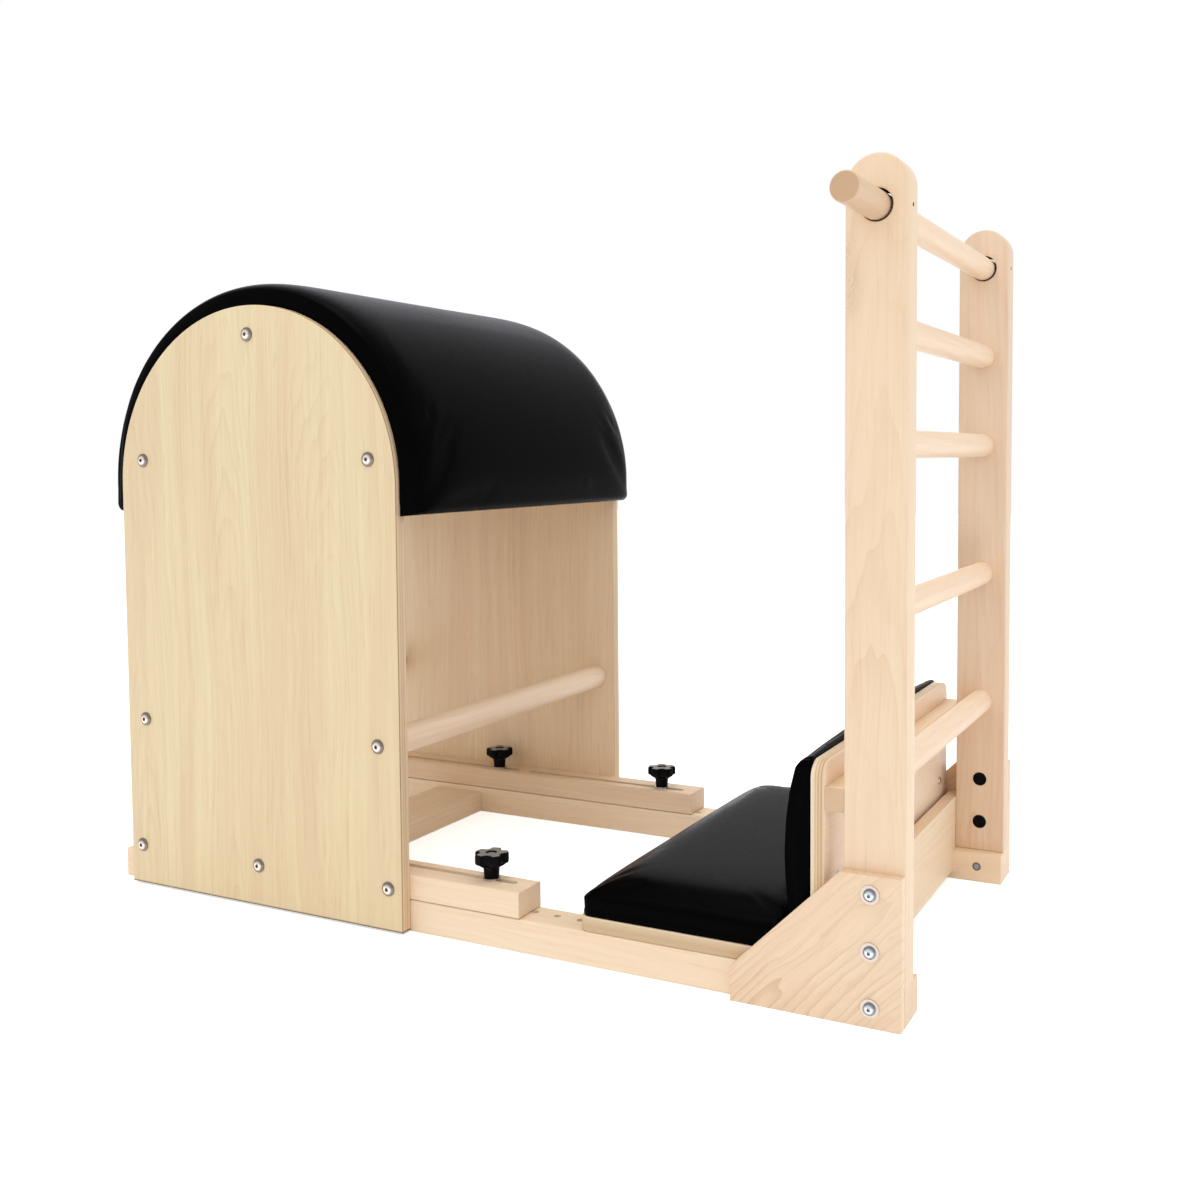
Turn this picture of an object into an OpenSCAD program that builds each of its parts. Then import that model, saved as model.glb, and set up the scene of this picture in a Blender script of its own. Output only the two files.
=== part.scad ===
// Pilates ladder barrel: a padded barrel that slides on a ladder base.
// Millimetres. +Z is up, +X runs from the barrel to the ladder, +Y is the
// left side. The origin is on the floor, in the middle of the object.

/* [Base rails] */
// Length of the two base rails
rail_length = 1255; // [1180:1:1400]
// Width of each base rail
rail_width = 56; // [48:1:66]
// Height of each base rail
rail_height = 45; // [38:1:55]
// Distance between the rails' outer faces
base_width = 602; // [540:1:660]
// Rounding of the long edges of rails and beams
edge_round = 2.5; // [1:0.5:4]

/* [Cross boards] */
// Front to back depth of the rear cross board
rear_board_depth = 100; // [70:1:140]
// Thickness of the rear cross board
rear_board_thickness = 36; // [24:1:38]
// Height of the rear cross board above the floor
rear_board_foot = 1; // [0.5:0.5:4]
// Distance from the rear ends of the rails to the rear cross board
rear_board_setback = 203; // [120:1:300]
// Thickness of the notched board below the ladder
ladder_board_thickness = 18; // [12:1:20]
// Height of the lower edge of the ladder board above the floor
ladder_board_foot = 13; // [5:1:25]
// Height of the upper edge of the ladder board above the floor
ladder_board_top = 125.5; // [110:0.5:135]

/* [Ladder] */
// Height of the rounded tops of the uprights above the floor
ladder_height = 999; // [940:1:1080]
// Width of an upright, front to back
upright_width = 73.5; // [66:0.5:84]
// Thickness of an upright, side to side
upright_thickness = 38.5; // [32:0.5:46]
// Diameter of the four rungs
rung_diameter = 35; // [30:1:42]
// Distances of the four rungs below the handle bar
rung_drops = [133, 268, 464, 662];
// Depth of the blind holes that hold the rungs
rung_seat = 24; // [18:1:28]
// Diameter of the handle bar
handle_diameter = 34; // [30:1:40]
// Distance of the handle bar below the tops of the uprights
handle_drop = 58; // [45:1:100]
// Length of the handle bar beyond each upright
handle_reach = 112; // [60:1:140]
// Room round the handle bar in its holes
handle_play = 1.6; // [0.6:0.2:3]

/* [Gussets] */
// Thickness of the foot gussets
gusset_thickness = 16; // [12:1:20]
// Length of the foot gussets along the rails
gusset_length = 212; // [180:1:250]
// Height of the foot gussets
gusset_height = 179; // [165:1:200]
// Height of the blunt toe of the foot gussets
gusset_toe = 43; // [30:1:60]
// Heights of the three bolts of each gusset
gusset_bolt_heights = [24, 90, 157];

/* [Seat] */
// Distance from the ladder end of the rails to the foot board's front edge
foot_board_reach = 432; // [390:1:440]
// Thickness of the foot board
foot_board_thickness = 20; // [16:1:24]
// Thickness of the foot pad in its middle
foot_pad_thickness = 46; // [36:1:56]
// Height of the foot pad's straight sides
foot_pad_side = 22; // [14:1:30]
// Rounding of the foot board's and foot pad's corners
foot_board_corner = 14; // [8:1:24]
// Thickness of the back board
back_board_thickness = 18; // [15:1:21]
// Height of the back board's top edge above the floor
back_board_top = 300; // [280:1:330]
// Thickness of the back pad in its middle
back_pad_thickness = 38; // [30:1:46]
// Height of the back pad's straight sides along its top and foot
pad_side = 10; // [6:1:16]
// Rise of the back pad above the back board in its middle
back_pad_rise = 7; // [3:1:14]
// Rounding of the back board's corners
board_corner = 22; // [10:1:30]
// Width of the boards across the rails, less than the rails' outer faces by
board_inset = 1; // [0.5:0.5:4]
// Depth of the beam behind the back board
back_beam_depth = 23.5; // [20:0.5:28]
// Height of the beam behind the back board
back_beam_height = 28.5; // [24:0.5:40]
// Height of the beam's underside above the floor
back_beam_foot = 243; // [225:1:250]
// Distance between the bolts that hold the back pad
pad_bolt_spacing = 250; // [200:5:270]

/* [Barrel] */
// Width of the side panels, which is twice the radius of their arch
panel_width = 520; // [460:2:560]
// Thickness of the side panels
panel_thickness = 19; // [15:1:22]
// Height of the arch's centre above the floor
arch_height = 620; // [560:1:680]
// Distance from the rear ends of the rails to the side panels
panel_setback = 35; // [30:1:100]
// Gap between the side panels and the floor
panel_floor_gap = 3; // [2:1:8]
// Thickness of the barrel's pad
barrel_pad_thickness = 36.7; // [28:0.1:44]
// Thickness of the bent shell below the pad
shell_thickness = 9; // [7:1:15]
// Distance by which the shell lies below the panels' edge
shell_inset = 1; // [0.5:0.5:3]
// Length of the straight sides of the pad below the arch's centre
pad_skirt = 40; // [20:1:60]
// Distance by which the pad laps over the edge of each side panel
pad_lap = 10; // [4:1:17]
// Thickness of the barrel's pad at its two rims, before it swells
pad_rim = 21.7; // [14:0.1:26]
// Rounding of the barrel pad's two hems
pad_hem = 12; // [6:1:18]
// Diameter of the two crossbars between the panels
crossbar_diameter = 40; // [32:1:46]
// Height of the crossbars above the floor
crossbar_height = 261; // [220:1:300]
// Distance of the crossbars from the panels' front and rear edges
crossbar_inset = 37; // [32:1:80]
// Distance of the slats' bolts from the panels' arched edge
slat_inset = 42; // [41:0.5:44]
// Angle of the two side slats above the horizontal
slat_angle = 10; // [5:1:20]

/* [Slide beams] */
// Height of the slotted beams on the rails
beam_height = 35.5; // [30:0.5:40]
// Length of the beams beyond the side panels
beam_reach = 177.5; // [150:0.5:185]
// Width of the slots
slot_width = 11; // [10.5:0.5:14]
// Distance of slots, knobs and inserts from the rails' middle, inwards
slot_shift = 6.5; // [0:0.5:10]
// Wood left at each end of a beam
slot_margin = 24; // [18:1:30]
// Wood left between the two slots of a beam
slot_web = 19.5; // [16:0.5:30]
// Running clearance below the beams
beam_play = 0.1; // [0.05:0.05:0.3]
// Running clearance beside the rails
panel_play = 0.5; // [0.2:0.1:1]

/* [Knobs] */
// Diameter across the lobes of the star knobs
knob_diameter = 48; // [40:1:55]
// Height of the star-shaped head
knob_head = 20; // [15:1:24]
// Height of the flare that leads from the hub to the lobes
knob_flare = 5.5; // [3:0.5:8]
// Height of the hub below the head
knob_hub = 14.6; // [12:0.2:22]
// Diameter of the hub
hub_diameter = 20.6; // [18:0.2:26]
// Diameter of the threaded stud
stud_diameter = 9.9; // [7.9:0.1:9.9]
// Distance from the front slot's end to the front knob
knob_setback = 41.5; // [35:0.5:60]
// Distance from the front knob to the rear knob
knob_spacing = 337; // [325:1:355]
// Thickness of the washers below the knobs
washer_height = 2.5; // [1.5:0.5:3]
// Distance between threaded inserts
insert_pitch = 35; // [30:1:40]
// Number of threaded inserts behind one another
insert_count = 5; // [2:1:5]

/* [Hidden] */
$fn = 96;

// Colours of the materials
maple = "#EDD3AE";
plywood = "#E8D3A4";
vinyl = "#1B1B1D";
plastic = "#141414";
nickel = "#C9CBCE";
brass = "#C6A55B";

// Small allowances
fit_gap = 0.05;
cut = 1;
soft_gap = 0.3;
thin_round = 1;

// Places along X
front_x = rail_length / 2;
upright_x = front_x - upright_width / 2;
upright_back_x = front_x - upright_width;
rear_board_x = -rail_length / 2 + rear_board_setback;
panel_back_x = -rail_length / 2 + panel_setback;
panel_x = panel_back_x + panel_width / 2;
beam_length = panel_width + beam_reach;
beam_front_x = panel_back_x + beam_length;
back_board_x = upright_back_x - back_beam_depth - back_board_thickness;
foot_board_x = front_x - foot_board_reach;
foot_board_length = back_board_x + back_board_thickness - foot_board_x;

// Places along Y, as distances from the middle
rail_outer = base_width / 2;
rail_inner = rail_outer - rail_width;
rail_middle = rail_outer - rail_width / 2;
knob_line = rail_middle - slot_shift;
upright_inner = rail_outer - upright_thickness;
upright_middle = rail_outer - upright_thickness / 2;
gusset_outer = rail_outer + gusset_thickness;
panel_inner = rail_outer + panel_play;
panel_outer = panel_inner + panel_thickness;
board_half = rail_outer - board_inset;
handle_half = rail_outer + handle_reach;

// Heights
handle_height = ladder_height - handle_drop;
rung_heights = [for (drop = rung_drops) handle_height - drop];
beam_foot = rail_height + beam_play;
beam_top = beam_foot + beam_height;
foot_board_top = rail_height + foot_board_thickness;

// Barrel
pad_steps = 10;
pad_swell = 14;
arch_radius = panel_width / 2;
slat_radius = arch_radius - slat_inset;
crossbar_offset = arch_radius - crossbar_inset;
shell_outer = arch_radius - shell_inset;
shell_inner = shell_outer - shell_thickness;
pad_inner = shell_outer + soft_gap;
pad_outer = pad_inner + barrel_pad_thickness;
pad_half = panel_inner - soft_gap;
pad_end = panel_inner + pad_lap;
slat_width = rail_height;
slat_depth = 2 * (sqrt(pow(shell_inner, 2) - pow(slat_width / 2, 2)) - slat_radius);

// Slots and knobs
slot_length = (beam_length - 2 * slot_margin - slot_web) / 2;
slot_front_ends = [beam_front_x - slot_margin, beam_front_x - slot_margin - slot_length - slot_web];
knob_x = beam_front_x - slot_margin - knob_setback;
knob_xs = [knob_x, knob_x - knob_spacing];
knob_places = [
    [knob_xs[0], -knob_line], [knob_xs[1], -knob_line],
    [knob_xs[0], knob_line], [knob_xs[1], knob_line]
];
insert_outer = 7;
insert_bore = 5;
insert_length = 25;
washer_lift = 0.2;
washer_foot = beam_top + washer_lift;
hub_foot = washer_foot + washer_height;
stud_in_hub = 10;
stud_foot = rail_height - insert_length + 2;
hub_flare = 2;
knob_lobes = 5;
knob_turns = [33, 10, 44, 52];
knob_edge = 3;
bite_radius = 9;
bite_depth = 6.5;
dimple_radius = 7.4;
dimple_depth = 2;
washer_play = 0.1;
washer_overhang = 2;

// Fasteners
bolt_shank = 4;
panel_head_radius = 10.2;
panel_head_height = 5;
sleeve_radius = 6;
sleeve_length = 18;
gusset_head_radius = 7.6;
gusset_head_height = 4.4;
gusset_washer_radius = 11.2;
gusset_washer_height = 1.6;
nut_radius = 6.5;
nut_height = 6.5;
cap_radius = 10.3;
cap_height = 3;
cap_stand = 0.5;
cap_bore_depth = 11;
screw_radius = 2.4;
screw_head_radius = 4.6;
screw_head_height = 3;
set_screw_radius = 2.5;
set_screw_sink = 4;
handle_x = upright_x - handle_play + fit_gap;

// Bolts of one side panel, as distance from the panel's middle and height
beam_bolt_inset = 23;
panel_bolt_places = [
    [0, arch_height + slat_radius],
    [-slat_radius * cos(slat_angle), arch_height + slat_radius * sin(slat_angle)],
    [slat_radius * cos(slat_angle), arch_height + slat_radius * sin(slat_angle)],
    [-crossbar_offset, crossbar_height],
    [crossbar_offset, crossbar_height],
    [-panel_width / 2 + beam_bolt_inset, beam_foot + beam_height / 2],
    [0, beam_foot + beam_height / 2],
    [panel_width / 2 - beam_bolt_inset, beam_foot + beam_height / 2]
];

// Wood screws: the boards' screws go on into the wood behind them by screw_grip
screw_grip = 25;
screw_inset = 25;
foot_screw_edge = 18;
foot_screw_places = [
    for (x = [foot_board_x + screw_inset, back_board_x - screw_inset], side = [-1, 1])
        [x, side * (rail_outer - foot_screw_edge)]
];
foot_screw_length = foot_board_thickness + screw_grip;
rear_screw_xs = [rear_board_x + screw_inset, rear_board_x + rear_board_depth - screw_inset];
rear_screw_height = rear_board_foot + rear_board_thickness / 2;
rear_screw_length = rail_width + screw_grip;
ladder_screw_places = [
    for (side = [-1, 1], z = [rail_height + screw_inset, ladder_board_top - screw_inset])
        [side * upright_middle, z]
];
ladder_screw_length = ladder_board_thickness + screw_grip;
back_screw_ys = [-upright_middle, -board_half / 3, board_half / 3, upright_middle];
back_screw_height = back_beam_foot + back_beam_height / 2;
back_screw_length = back_board_thickness + back_beam_depth + screw_grip;
back_screw_short = back_board_thickness + back_beam_depth - 4;

// Bolts through the back board into the back pad's own board
pad_bolt_radius = 3;
pad_bolt_head_radius = 6.5;
pad_bolt_head_height = 3.5;
pad_bolt_height = 151;
pad_bolt_ys = [-pad_bolt_spacing, 0, pad_bolt_spacing];

// Helpers

// Rectangle with rounded corners, centred on the origin
module round_rect(width, height, radius) {
    square([width - 2 * radius, height], center = true);
    square([width, height - 2 * radius], center = true);
    for (x = [-1, 1], y = [-1, 1]) {
        translate([x * (width / 2 - radius), y * (height / 2 - radius)]) circle(r = radius);
    }
}

// Slot with round ends, centred on the origin
module slot_outline(length, width) {
    square([length - width, width], center = true);
    for (side = [-1, 1]) {
        translate([side * (length - width) / 2, 0]) circle(d = width);
    }
}

// Bar along X that starts at the origin, centred in Y, standing on Z = 0
module bar_x(length, width, height, radius) {
    translate([0, 0, height / 2])
        rotate([90, 0, 90])
            linear_extrude(height = length) round_rect(width, height, radius);
}

// Bar along Y, centred in X, Y and Z
module bar_y(length, width, height, radius) {
    rotate([90, 0, 0])
        translate([0, 0, -length / 2])
            linear_extrude(height = length) round_rect(width, height, radius);
}

// Round rod along Y that starts at y and runs for length in the direction side
module rod_y(x, y, z, radius, length, side = 1) {
    translate([x, y, z]) rotate([side > 0 ? -90 : 90, 0, 0]) cylinder(r = radius, h = length);
}

// Rod along X that starts at x
module rod_x(x, y, z, radius, length) {
    translate([x, y, z]) rotate([0, 90, 0]) cylinder(r = radius, h = length);
}

// Domed head on Z = 0 with a socket in its top; shares of radius and height
head_rim = 1 / 4;
socket_floor = 9 / 20;
socket_width = 3 / 10;
module domed_head(radius, height) {
    rim = height * head_rim;
    rise = height - rim;
    dome = (radius * radius + rise * rise) / (2 * rise);
    difference() {
        union() {
            cylinder(r = radius, h = rim);
            intersection() {
                translate([0, 0, height - dome]) sphere(r = dome);
                translate([0, 0, rim]) cylinder(r = radius, h = rise);
            }
        }
        translate([0, 0, height * socket_floor])
            cylinder(r = radius * socket_width, h = height, $fn = 6);
    }
}

// Countersunk screw whose flat head ends at Z = 0 and whose shank points down
module wood_screw(length) {
    translate([0, 0, -screw_head_height])
        cylinder(r1 = screw_radius, r2 = screw_head_radius, h = screw_head_height);
    translate([0, 0, -length]) cylinder(r = screw_radius, h = length - screw_head_height);
}

// Hole for that screw
module screw_hole(length) {
    translate([0, 0, -screw_head_height])
        cylinder(
            r1 = screw_radius + fit_gap,
            r2 = screw_head_radius + fit_gap,
            h = screw_head_height
        );
    translate([0, 0, -length - fit_gap]) cylinder(r = screw_radius + fit_gap, h = length);
    cylinder(r = screw_head_radius + fit_gap, h = cut);
}

// Puts its children on the left and, mirrored, on the right side
module both_sides() {
    children();
    mirror([0, 1, 0]) children();
}

// Base

// Left rail, with the bores for inserts, bolt and screws
module base_rail() {
    difference() {
        translate([-rail_length / 2, rail_middle, 0])
            bar_x(rail_length, rail_width, rail_height, edge_round);
        for (first_x = knob_xs, i = [0:insert_count - 1]) {
            translate([first_x + i * insert_pitch, knob_line, rail_height - insert_length])
                cylinder(r = insert_outer + fit_gap, h = insert_length + cut);
        }
        rod_y(
            upright_x, rail_inner - cut, gusset_bolt_heights[0],
            bolt_shank + fit_gap, rail_width + 2 * cut
        );
        rod_y(
            upright_x, rail_inner - cut, gusset_bolt_heights[0],
            nut_radius + fit_gap, nut_height + cut
        );
        for (x = rear_screw_xs) {
            translate([x, rail_outer, rear_screw_height])
                rotate([-90, 0, 0]) screw_hole(rear_screw_length);
        }
        for (p = foot_screw_places) {
            if (p[1] > 0) {
                translate([p[0], p[1], foot_board_top]) screw_hole(foot_screw_length);
            }
        }
    }
}

module base_rail_left() {
    color(maple) base_rail();
}

module base_rail_right() {
    color(maple) mirror([0, 1, 0]) base_rail();
}

module rear_cross_board() {
    color(maple) difference() {
        translate([rear_board_x + rear_board_depth / 2, 0, rear_screw_height])
            bar_y(2 * rail_inner, rear_board_depth, rear_board_thickness, edge_round);
        both_sides() {
            for (x = rear_screw_xs) {
                translate([x, rail_outer, rear_screw_height])
                    rotate([-90, 0, 0]) screw_hole(rear_screw_length);
            }
        }
    }
}

// Board below the ladder: it drops between the rails and is notched over them
module ladder_cross_board() {
    color(maple) difference() {
        translate([upright_back_x - ladder_board_thickness, 0, 0])
            rotate([90, 0, 90])
                linear_extrude(height = ladder_board_thickness) {
                    translate([-rail_inner, ladder_board_foot])
                        square([2 * rail_inner, ladder_board_top - ladder_board_foot]);
                    translate([-board_half, rail_height + fit_gap])
                        square([2 * board_half, ladder_board_top - rail_height - fit_gap]);
                }
        for (p = ladder_screw_places) {
            translate([upright_back_x - ladder_board_thickness, p[0], p[1]])
                rotate([0, -90, 0]) screw_hole(ladder_screw_length);
        }
    }
}

module cross_board_screws() {
    color(nickel) {
        both_sides() {
            for (x = rear_screw_xs) {
                translate([x, rail_outer, rear_screw_height])
                    rotate([-90, 0, 0]) wood_screw(rear_screw_length);
            }
        }
        for (p = ladder_screw_places) {
            translate([upright_back_x - ladder_board_thickness, p[0], p[1]])
                rotate([0, -90, 0]) wood_screw(ladder_screw_length);
        }
    }
}

module rail_inserts() {
    color(brass) both_sides() {
        for (first_x = knob_xs, i = [0:insert_count - 1]) {
            translate([first_x + i * insert_pitch, knob_line, rail_height - insert_length])
                difference() {
                    cylinder(r = insert_outer, h = insert_length);
                    translate([0, 0, -cut]) cylinder(r = insert_bore, h = insert_length + 2 * cut);
                }
        }
    }
}

// Ladder

// Left upright with its round top and all its holes
module upright() {
    top_radius = upright_width / 2;
    difference() {
        translate([0, rail_outer, 0])
            rotate([90, 0, 0])
                linear_extrude(height = upright_thickness) {
                    translate([upright_back_x, rail_height])
                        square([upright_width, ladder_height - rail_height - top_radius]);
                    translate([upright_x, ladder_height - top_radius]) circle(r = top_radius);
                }
        for (z = rung_heights) {
            rod_y(
                upright_x, upright_inner - cut, z,
                rung_diameter / 2 + fit_gap, rung_seat + cut
            );
        }
        rod_y(
            upright_x, upright_inner - cut, handle_height,
            handle_diameter / 2 + handle_play, upright_thickness + 2 * cut
        );
        rod_x(
            upright_x, upright_middle, handle_height,
            set_screw_radius + fit_gap, upright_width / 2 + cut
        );
        for (i = [1, 2]) {
            rod_y(
                upright_x, upright_inner - cut, gusset_bolt_heights[i],
                bolt_shank + fit_gap, upright_thickness + 2 * cut
            );
            rod_y(
                upright_x, upright_inner - cut, gusset_bolt_heights[i],
                cap_radius + fit_gap, cap_bore_depth + cut
            );
        }
        for (p = ladder_screw_places) {
            if (p[0] > 0) {
                translate([upright_back_x - ladder_board_thickness, p[0], p[1]])
                    rotate([0, -90, 0]) screw_hole(ladder_screw_length);
            }
        }
        translate([back_board_x, upright_middle, back_screw_height])
            rotate([0, -90, 0]) screw_hole(back_screw_length);
    }
}

module upright_left() {
    color(maple) upright();
}

module upright_right() {
    color(maple) mirror([0, 1, 0]) upright();
}

// Left gusset: a foot plate with a slanted rear edge
module gusset() {
    difference() {
        translate([0, gusset_outer, 0])
            rotate([90, 0, 0])
                linear_extrude(height = gusset_thickness)
                    polygon([
                        [front_x, 0], [front_x, gusset_height],
                        [upright_back_x, gusset_height],
                        [front_x - gusset_length, gusset_toe],
                        [front_x - gusset_length, 0]
                    ]);
        for (z = gusset_bolt_heights) {
            rod_y(
                upright_x, rail_outer - cut, z,
                bolt_shank + fit_gap, gusset_thickness + 2 * cut
            );
        }
    }
}

module gusset_left() {
    color(maple) gusset();
}

module gusset_right() {
    color(maple) mirror([0, 1, 0]) gusset();
}

module gusset_bolts() {
    color(nickel) both_sides() {
        for (i = [0:2]) {
            z = gusset_bolt_heights[i];
            tip = i == 0 ? rail_inner : upright_inner + cap_bore_depth - nut_height;
            translate([upright_x, gusset_outer + gusset_washer_height, z])
                rotate([-90, 0, 0]) domed_head(gusset_head_radius, gusset_head_height);
            rod_y(upright_x, tip, z, bolt_shank, gusset_outer + gusset_washer_height - tip);
        }
    }
}

module gusset_washers() {
    color(nickel) both_sides() {
        for (z = gusset_bolt_heights) {
            difference() {
                rod_y(upright_x, gusset_outer, z, gusset_washer_radius, gusset_washer_height);
                rod_y(
                    upright_x, gusset_outer - cut, z,
                    bolt_shank + fit_gap, gusset_washer_height + 2 * cut
                );
            }
        }
    }
}

// Sleeve nuts: deep in the uprights, and flush in the rails' inner faces
module gusset_nuts() {
    color(nickel) both_sides() {
        for (i = [0:2]) {
            z = gusset_bolt_heights[i];
            y = i == 0 ? rail_inner : upright_inner + cap_bore_depth - nut_height;
            difference() {
                rod_y(upright_x, y, z, nut_radius, nut_height);
                rod_y(upright_x, y - cut, z, bolt_shank + fit_gap, nut_height + 2 * cut);
            }
        }
    }
}

// Black caps that close the nut bores in the uprights
module upright_caps() {
    color(plastic) both_sides() {
        for (i = [1, 2]) {
            rod_y(
                upright_x, upright_inner - cap_stand, gusset_bolt_heights[i],
                cap_radius, cap_height
            );
        }
    }
}

// The bar is pushed against the rear of its holes by the set screws
module handle_bar() {
    end_round = edge_round;
    radius = handle_diameter / 2;
    color(maple)
        translate([handle_x, -handle_half, handle_height])
            rotate([-90, 0, 0])
                rotate_extrude() {
                    square([radius - end_round, 2 * handle_half]);
                    translate([0, end_round]) square([radius, 2 * (handle_half - end_round)]);
                    for (y = [end_round, 2 * handle_half - end_round]) {
                        translate([radius - end_round, y]) circle(r = end_round);
                    }
                }
}

module set_screws() {
    start_x = handle_x + handle_diameter / 2;
    color(nickel) both_sides()
        rod_x(
            start_x, upright_middle, handle_height,
            set_screw_radius, front_x - set_screw_sink - start_x
        );
}

module rung(height) {
    half = upright_inner + rung_seat - fit_gap;
    color(maple) rod_y(upright_x, -half, height, rung_diameter / 2, 2 * half);
}

module rung_1() {
    rung(rung_heights[0]);
}

module rung_2() {
    rung(rung_heights[1]);
}

module rung_3() {
    rung(rung_heights[2]);
}

module rung_4() {
    rung(rung_heights[3]);
}

// Seat

module back_beam() {
    color(maple) difference() {
        translate([upright_back_x - back_beam_depth / 2, 0, back_screw_height])
            bar_y(2 * board_half, back_beam_depth, back_beam_height, thin_round);
        back_screw_holes();
    }
}

module back_screw_holes() {
    for (y = back_screw_ys) {
        translate([back_board_x, y, back_screw_height])
            rotate([0, -90, 0])
                screw_hole(abs(y) == upright_middle ? back_screw_length : back_screw_short);
    }
}

module back_board_screws() {
    color(nickel)
        for (y = back_screw_ys) {
            translate([back_board_x, y, back_screw_height])
                rotate([0, -90, 0])
                    wood_screw(abs(y) == upright_middle ? back_screw_length : back_screw_short);
        }
}

// Plywood board with two rounded corners at its top
module back_board() {
    height = back_board_top - foot_board_top;
    color(plywood) difference() {
        translate([back_board_x, 0, foot_board_top])
            rotate([90, 0, 90])
                linear_extrude(height = back_board_thickness) {
                    translate([-board_half, 0])
                        square([2 * board_half, height - board_corner]);
                    translate([-board_half + board_corner, 0])
                        square([2 * (board_half - board_corner), height]);
                    for (side = [-1, 1]) {
                        translate([side * (board_half - board_corner), height - board_corner])
                            circle(r = board_corner);
                    }
                }
        back_screw_holes();
        for (y = pad_bolt_ys) {
            rod_x(
                back_board_x - cut, y, pad_bolt_height,
                pad_bolt_radius + fit_gap, back_board_thickness + 2 * cut
            );
        }
    }
}

// Plywood board with two rounded corners at its front edge
module foot_board() {
    color(plywood) difference() {
        translate([foot_board_x, 0, rail_height])
            linear_extrude(height = foot_board_thickness) {
                translate([foot_board_corner, -board_half])
                    square([foot_board_length - foot_board_corner, 2 * board_half]);
                translate([0, -board_half + foot_board_corner])
                    square([foot_board_length, 2 * (board_half - foot_board_corner)]);
                for (side = [-1, 1]) {
                    translate([foot_board_corner, side * (board_half - foot_board_corner)])
                        circle(r = foot_board_corner);
                }
            }
        for (p = foot_screw_places) {
            translate([p[0], p[1], foot_board_top]) screw_hole(foot_screw_length);
        }
    }
}

module foot_board_screws() {
    color(nickel)
        for (p = foot_screw_places) {
            translate([p[0], p[1], foot_board_top]) wood_screw(foot_screw_length);
        }
}

// Bolts with domed heads on the back board's rear face
module back_pad_bolts() {
    color(nickel)
        for (y = pad_bolt_ys) {
            translate([back_board_x + back_board_thickness, y, pad_bolt_height])
                rotate([0, 90, 0]) domed_head(pad_bolt_head_radius, pad_bolt_head_height);
            rod_x(back_board_x, y, pad_bolt_height, pad_bolt_radius, back_board_thickness);
        }
}

// Cells of a cushion's grid, its fullness, and how far its foot is drawn in
pad_grid = [18, 30];
pad_fullness = 0.55;
pad_tuck = 2;
// Exponents of the pads' curves, and the share by which their two ends slope
foot_pad_curve = [6, 18, 10, 1];
back_pad_curve = [2, 2, 30, 0.16];
// Depth by which the foot pad reaches below the back pad's bulge
pad_overlap = 5;
back_pad_overlap = 3;
back_pad_corner = 12;
back_pad_inset = 2;

// Cushions. A cushion lies on Z = 0 and is centred in X and Y. It has upright
// sides, and above them its thickness follows a domed curve, (1 - |u|^p)
// (1 - e |v|^q) to the power pad_fullness, where u and v run from -1 to 1. High
// exponents give tight edges, low ones a full crown. A share e below 1 leaves
// the two ends upright to nearly the full height, as on a boxed cushion.

// Grid lines from -half to half, closer together near both edges
function pad_lines(half, count) = [for (i = [0:count]) -half * cos(180 * i / count)];

// One corner of a square bent to a quarter circle
function round_corner(x, y, a, b, r) =
    let(
        dx = max(abs(x) - a + r, 0) / r,
        dy = max(abs(y) - b + r, 0) / r
    )
    [
        sign(x) * (min(abs(x), a - r) + r * dx * sqrt(1 - dy * dy / 2)),
        sign(y) * (min(abs(y), b - r) + r * dy * sqrt(1 - dx * dx / 2))
    ];

// Share of the full thickness at u and v, for a curve [low u, high u, v, end share]
function dome(u, v, p) =
    pow(
        max(0, (1 - pow(abs(u), u < 0 ? p[0] : p[1])) * (1 - p[3] * pow(abs(v), p[2]))),
        pad_fullness
    );

// Closed surface of a cushion: a domed grid, two rings of sides and a flat
// underside, which is drawn in at its edge; bow widens the cushion's high-u
// edge in the middle
module cushion(length, width, thickness, side, corner, p, bow = 0) {
    a = length / 2;
    b = width / 2;
    nu = pad_grid[0];
    nv = pad_grid[1];
    us = pad_lines(a, nu);
    vs = pad_lines(b, nv);
    top = [
        for (i = [0:nu], j = [0:nv])
            let(
                q = round_corner(us[i], vs[j], a, b, corner),
                u = us[i] / a,
                v = vs[j] / b,
                shift = bow * (1 - v * v) * (u + 1) / 2
            )
            [q[0] + shift, q[1], side + (thickness - side) * dome(u, v, p)]
    ];
    rim = concat(
        [for (i = [0:nu - 1]) i * (nv + 1)],
        [for (j = [0:nv - 1]) nu * (nv + 1) + j],
        [for (i = [nu:-1:1]) i * (nv + 1) + nv],
        [for (j = [nv:-1:1]) j]
    );
    count = len(rim);
    first = len(top);
    rings = [[pad_tuck, 0], [0, pad_tuck]];
    sides = [
        for (ring = rings, k = rim)
            let(q = top[k])
            [q[0] * (1 - ring[1] / a), q[1] * (1 - ring[1] / b), ring[0]]
    ];
    centre = first + len(sides);
    points = concat(top, sides, [[0, 0, 0]]);
    faces = concat(
        [for (i = [0:nu - 1], j = [0:nv - 1])
            [i * (nv + 1) + j, i * (nv + 1) + j + 1, (i + 1) * (nv + 1) + j + 1]],
        [for (i = [0:nu - 1], j = [0:nv - 1])
            [i * (nv + 1) + j, (i + 1) * (nv + 1) + j + 1, (i + 1) * (nv + 1) + j]],
        [for (k = [0:count - 1]) [rim[k], rim[(k + 1) % count], first + (k + 1) % count]],
        [for (k = [0:count - 1]) [rim[k], first + (k + 1) % count, first + k]],
        [for (k = [0:count - 1])
            [first + k, first + (k + 1) % count, first + count + (k + 1) % count]],
        [for (k = [0:count - 1])
            [first + k, first + count + (k + 1) % count, first + count + k]],
        [for (k = [0:count - 1])
            [first + count + k, first + count + (k + 1) % count, centre]]
    );
    polyhedron(points, faces);
}

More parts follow.
